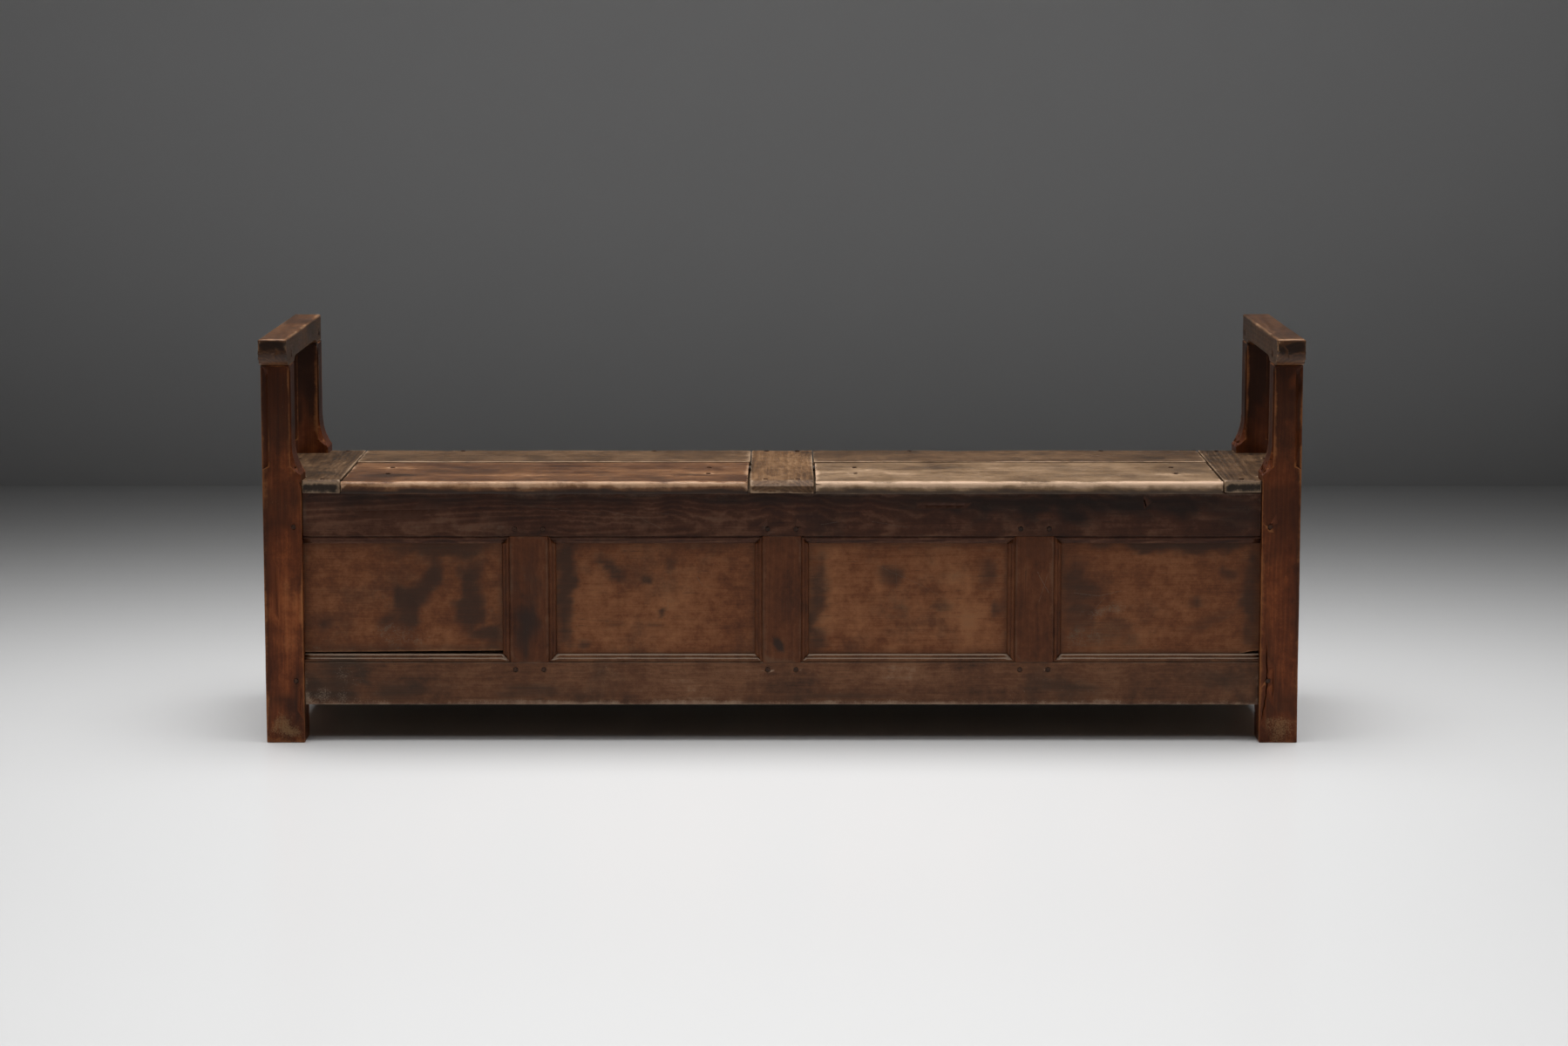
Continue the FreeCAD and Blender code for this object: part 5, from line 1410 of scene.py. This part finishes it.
@dataclass
class Lids(SubAssembly):
    """Both lids with their battens."""

    title: str = "lids"
    arris: float = 1.6 * MM

    def boards(self) -> list[Board]:
        """Each lid's board, then its battens."""
        wear = Wear(arris=self.arris, hollow=1.1 * MM, ripple=0.7 * MM, along=12 * MM, across=8 * MM, nibble=1.4 * MM)
        plain = Wear(arris=1.4 * MM, along=25 * MM, across=20 * MM)
        made = []
        for n, side in enumerate(("left", "right")):
            low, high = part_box(f"lid_{side}_board")
            top = high.z
            if side == "left":
                cracks = [
                    Split(((low.x - 0.002, -0.075, top), (low.x + 0.10, -0.079, top)), (0, 0, -1), 2.2 * MM, 12 * MM, (0.0, 0.5)),
                    Split(((low.x + 0.30, 0.012, top), (low.x + 0.52, 0.016, top)), (0, 0, -1), 1.2 * MM, 6 * MM),
                    Split(((high.x + 0.002, -0.12, top), (high.x - 0.09, -0.117, top)), (0, 0, -1), 1.4 * MM, 8 * MM, (0.0, 0.5)),
                ]
            else:
                cracks = [
                    Split(((high.x + 0.002, -0.08, top), (high.x - 0.12, -0.076, top)), (0, 0, -1), 2.2 * MM, 12 * MM, (0.0, 0.5)),
                    Split(((low.x - 0.002, -0.03, top), (low.x + 0.16, -0.034, top)), (0, 0, -1), 1.4 * MM, 8 * MM, (0.0, 0.5)),
                ]
            finish = LID_OAK if side == "left" else PALE_LID_OAK
            nose = (-9.0, low.y + 0.010)
            # The nose's top edge: worn gold with a painted highlight and sheen; its lower edge: a painted shadow line;
            # the rest are stains and rubs seen from above.
            rubs_and_highlights = [Patch(0.0, top - 0.004, 2.0, 0.0065, strength=1.5, reach=nose), *self._rubs(side)]
            shade = [Patch(0.0, low.z + 0.004, 2.0, 0.004, strength=1.1, reach=nose), *self._stains_from_above(side)]
            made.append(Board(f"lid_{side}_board", Grain.X, finish, wear, splits=cracks, rubs_and_highlights=rubs_and_highlights, stains_and_shade=shade,
                              seed=70 + n))
            for m, place in enumerate(("inner", "outer")):
                made.append(Board(f"lid_{side}_batten_{place}", Grain.Y, INNER_OAK, plain, seed=72 + 2 * n + m))
        return made


    @staticmethod
    def _rubs(side: str) -> list[Patch]:
        """The pale rubbed places on one lid, seen from above."""
        places = {
            "left": ((-0.70, -0.03, 0.08, 0.014, 0.9), (-0.50, -0.12, 0.14, 0.014, 0.6), (-0.30, -0.06, 0.12, 0.02, 0.7),
                     (-0.12, -0.10, 0.06, 0.03, 0.5)),
            "right": ((0.16, -0.09, 0.12, 0.04, 0.9), (0.45, -0.04, 0.16, 0.02, 0.5), (0.70, -0.11, 0.08, 0.02, 0.5)),
        }
        return [Patch(x, y, wide, deep, strength=much, above=True) for x, y, wide, deep, much in places[side]]

    @staticmethod
    def _stains_from_above(side: str) -> list[Patch]:
        """The dark places on one lid, seen from above."""
        places = {
            "left": ((-0.72, -0.12, 0.06, 0.022, 0.9), (-0.60, -0.08, 0.08, 0.014, 0.5), (-0.16, -0.12, 0.04, 0.014, 0.6),
                     (-0.40, -0.01, 0.14, 0.010, 0.5)),
            "right": ((0.30, -0.03, 0.08, 0.012, 0.6), (0.60, -0.12, 0.10, 0.014, 0.5), (0.76, -0.06, 0.03, 0.03, 0.5)),
        }
        return [Patch(x, y, wide, deep, strength=much, above=True) for x, y, wide, deep, much in places[side]]


@dataclass
class Back(SubAssembly):
    """The back: its rail, planks and stud."""

    title: str = "back"

    def boards(self) -> list[Board]:
        """The rail, the planks and the stud."""
        wear = Wear(arris=1.6 * MM, hollow=0.8 * MM, ripple=0.4 * MM, along=22 * MM, across=14 * MM, nibble=1.2 * MM)
        low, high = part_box("back_plank_lower")
        cracks = [
            Split(((-0.55, low.y, 0.055), (-0.30, low.y, 0.052), (-0.12, low.y, 0.058)), (0, 1, 0), 2.2 * MM, 9 * MM),
            Split(((0.35, low.y, 0.075), (0.72, low.y, 0.07)), (0, 1, 0), 1.8 * MM, 8 * MM),
            Split(((-0.6, high.y, 0.08), (-0.2, high.y, 0.085)), (0, -1, 0), 1.8 * MM, 6 * MM),
        ]
        made = [Board("back_top_rail", Grain.X, BACK_OAK, wear, seed=80)]
        for n, place in enumerate(("lower", "middle", "upper")):
            made.append(Board(f"back_plank_{place}", Grain.X, BACK_OAK, wear, splits=cracks if n == 0 else (), seed=81 + n))
        made.append(Board("back_stud", Grain.Z, INNER_OAK, Wear(along=25 * MM, across=20 * MM), seed=85))
        return made


@dataclass
class Chest(SubAssembly):
    """What lies inside the chest: bearers, ledgers and floor boards."""

    title: str = "chest"
    floor_boards: int = 6

    def boards(self) -> list[Board]:
        """The bearers, the ledgers and the floor."""
        plain = Wear(arris=1.3 * MM, along=30 * MM, across=24 * MM)
        made = [Board(f"seat_bearer_{s}", Grain.Y, INNER_OAK, plain, seed=90 + n)
                for n, s in enumerate(("left", "centre", "right"))]
        made += [Board(f"floor_ledger_{s}", Grain.X, INNER_OAK, plain, seed=93 + n) for n, s in enumerate(("front", "rear"))]
        made += [Board(f"floor_board_{n}", Grain.Y, INNER_OAK, plain, seed=95 + n) for n in range(1, self.floor_boards + 1)]
        return made


class Fixings:
    """Every peg, nail and pin of the bench."""

    def build(self, nodes: Mapping[str, bpy.types.Object]) -> None:
        """Sets pegs and nails, makes a brads' tree that sets nothing, and finishes the pivot pins and the floor's
        nails.
        """
        pegs = FastenerTree(Fastener.PEG, PEG_OAK.material(Grain.Y))
        nails = FastenerTree(Fastener.NAIL, IRON.material())
        brads = FastenerTree(Fastener.BRAD, IRON.material())
        front = (0.0, -1.0, 0.0)
        up = (0.0, 0.0, 1.0)
        sets = [
            FastenerSet("front_frame_pegs", Fastener.PEG, pegs, "peg_oak", front, seed=3),
            FastenerSet("rear_frame_pegs", Fastener.PEG, pegs, "peg_oak", (0.0, 1.0, 0.0), seed=4),
            FastenerSet("side_frame_pegs", Fastener.PEG, pegs, "peg_oak", seed=5),
            FastenerSet("arm_pegs", Fastener.PEG, pegs, "peg_oak", seed=6),
            FastenerSet("seat_pegs", Fastener.PEG, pegs, "peg_oak", up, seed=7),
            FastenerSet("lid_left_pegs", Fastener.PEG, pegs, "peg_oak", up, seed=8),
            FastenerSet("lid_right_pegs", Fastener.PEG, pegs, "peg_oak", up, seed=9),
            FastenerSet("back_nails", Fastener.NAIL, nails, "forged_iron", seed=10),
        ]
        for each in sets:
            each.build(nodes)
        for name in ("pivot_pins_left", "pivot_pins_right", "floor_nails"):
            pin = nodes[name]
            pin.data.materials.clear()
            pin.data.materials.append(IRON.material())
        LOG.info("fixings done")


# Studio


@dataclass
class Studio:
    """A plain pale floor, a plain wall, soft light and the camera."""

    wall_y: float = 2.85
    span: float = 24.0
    floor_tone: float = 0.80
    wall_tone: float = 0.72
    world: float = 0.035
    overhead: tuple[float, ...] = (0.0, 0.0, 2.6, 4.6, 1.8, 48.0, 92.0)
    fore: tuple[float, ...] = (0.0, -2.3, 3.0, 4.8, 1.6, 40.0, 80.0)
    place: tuple[float, float, float] = (0.004, -6.085, 1.406)
    pitch_deg: float = 6.29
    lens: float = 74.8
    shift: float = -0.12

    def build(self) -> None:
        """Makes the floor, the wall, the lamps and the camera."""
        floor = self._plane("floor", self.floor_tone, 0.22, False)
        self._lay(floor, [(-1, -1, 0), (1, -1, 0), (1, 0, 0), (-1, 0, 0)], Vector((0, self.wall_y, 0)))
        wall = self._plane("wall", self.wall_tone, 0.9, True)
        self._lay(wall, [(-1, 0, 0), (1, 0, 0), (1, 0, 0.6), (-1, 0, 0.6)], Vector((0, self.wall_y, 0)))
        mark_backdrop(floor, wall)
        world = bpy.data.worlds.new("studio")
        bpy.context.scene.world = world
        world.use_nodes = True
        sheet = NodeSheet(world.node_tree)
        glow = sheet.add("ShaderNodeBackground", {}, {"Color": (1.0, 1.0, 1.0), "Strength": self.world})
        sheet.add("ShaderNodeOutputWorld", {}, {"Surface": glow.outputs[0]})
        for name, lamp in (("overhead", self.overhead), ("fore", self.fore)):
            self._lamp(name, lamp[:3], lamp[3:5], lamp[5], Vector((lamp[0], lamp[1], 0.0)), lamp[6])
        camera = bpy.data.cameras.new("camera")
        camera.lens = self.lens
        camera.sensor_width = 36.0
        camera.shift_y = self.shift
        camera.clip_end = 60.0
        holder = bpy.data.objects.new("camera", camera)
        holder.location = self.place
        holder.rotation_euler = (math.radians(90 - self.pitch_deg), 0.0, 0.0)
        bpy.context.scene.collection.objects.link(holder)
        bpy.context.scene.camera = holder
        bpy.context.scene.view_settings.view_transform = "Standard"

    def _plane(self, name: str, tone: float, rough: float, one_sided: bool) -> bpy.types.Object:
        """An empty mesh object with a plain finish.

        Args:
            name: what it is called.
            tone: its grey.
            rough: its roughness.
            one_sided: whether it is clear from behind, so that the bench's back can be seen.

        Returns:
            The object.
        """
        mesh = bpy.data.meshes.new(name)
        paint = bpy.data.materials.new(name)
        paint.use_nodes = True
        sheet = NodeSheet(paint.node_tree)
        inputs = {"Base Color": (tone, tone, tone), "Roughness": rough}
        surface = sheet.add("ShaderNodeBsdfPrincipled", {}, inputs).outputs[0]
        if one_sided:
            behind = sheet.add("ShaderNodeNewGeometry").outputs["Backfacing"]
            clear = sheet.add("ShaderNodeBsdfTransparent").outputs[0]
            surface = sheet.add("ShaderNodeMixShader", {}, {0: behind, 1: surface, 2: clear}).outputs[0]
        sheet.add("ShaderNodeOutputMaterial", {}, {"Surface": surface})
        mesh.materials.append(paint)
        made = bpy.data.objects.new(name, mesh)
        bpy.context.scene.collection.objects.link(made)
        return made

    def _lay(self, made: bpy.types.Object, corners: Sequence[tuple[float, float, float]], at: Vector) -> None:
        """Gives a plane its corners, as shares of the span from a point."""
        points = [Vector(c) * self.span / 2 * (2 if c[1] else 1) + at for c in corners]
        made.data.from_pydata(points, [], [(0, 1, 2, 3)])

    def _lamp(
        self, name: str, at: tuple[float, float, float], size: tuple[float, float], watts: float, aim: Vector,
        spread_deg: float,
    ) -> None:
        """Hangs a rectangular soft lamp.

        Args:
            name: what it is called.
            at: its place.
            size: its two sides.
            watts: its power.
            aim: the point that it looks at.
            spread_deg: how wide it shines.
        """
        lamp = bpy.data.lights.new(name, "AREA")
        lamp.shape = "RECTANGLE"
        lamp.size, lamp.size_y = size
        lamp.energy = watts
        lamp.spread = math.radians(spread_deg)
        holder = bpy.data.objects.new(name, lamp)
        holder.location = at
        holder.rotation_euler = (aim - Vector(at)).to_track_quat("-Z", "Y").to_euler()
        bpy.context.scene.collection.objects.link(holder)


def note_size(key: str, sizes: dict[str, list[list[float]]]) -> None:
    """Keeps the object's present bounds under a key."""
    low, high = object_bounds()
    sizes[key] = [list(low), list(high)]


def main() -> None:
    """Builds the bench's looks, then the studio."""
    logging.basicConfig(level=logging.INFO, format="%(name)s: %(message)s")
    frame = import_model()
    sizes: dict[str, list[list[float]]] = {}
    note_size("after_load", sizes)
    nodes = frame["nodes"]
    for group in (Uprights(), FrontFrame(), Panels(), SideFrames(), Seat(), Lids(), Back(), Chest()):
        group.build(nodes)
    Fixings().build(nodes)
    Studio().build()
    note_size("before_finish", sizes)


if __name__ == "__main__":
    main()
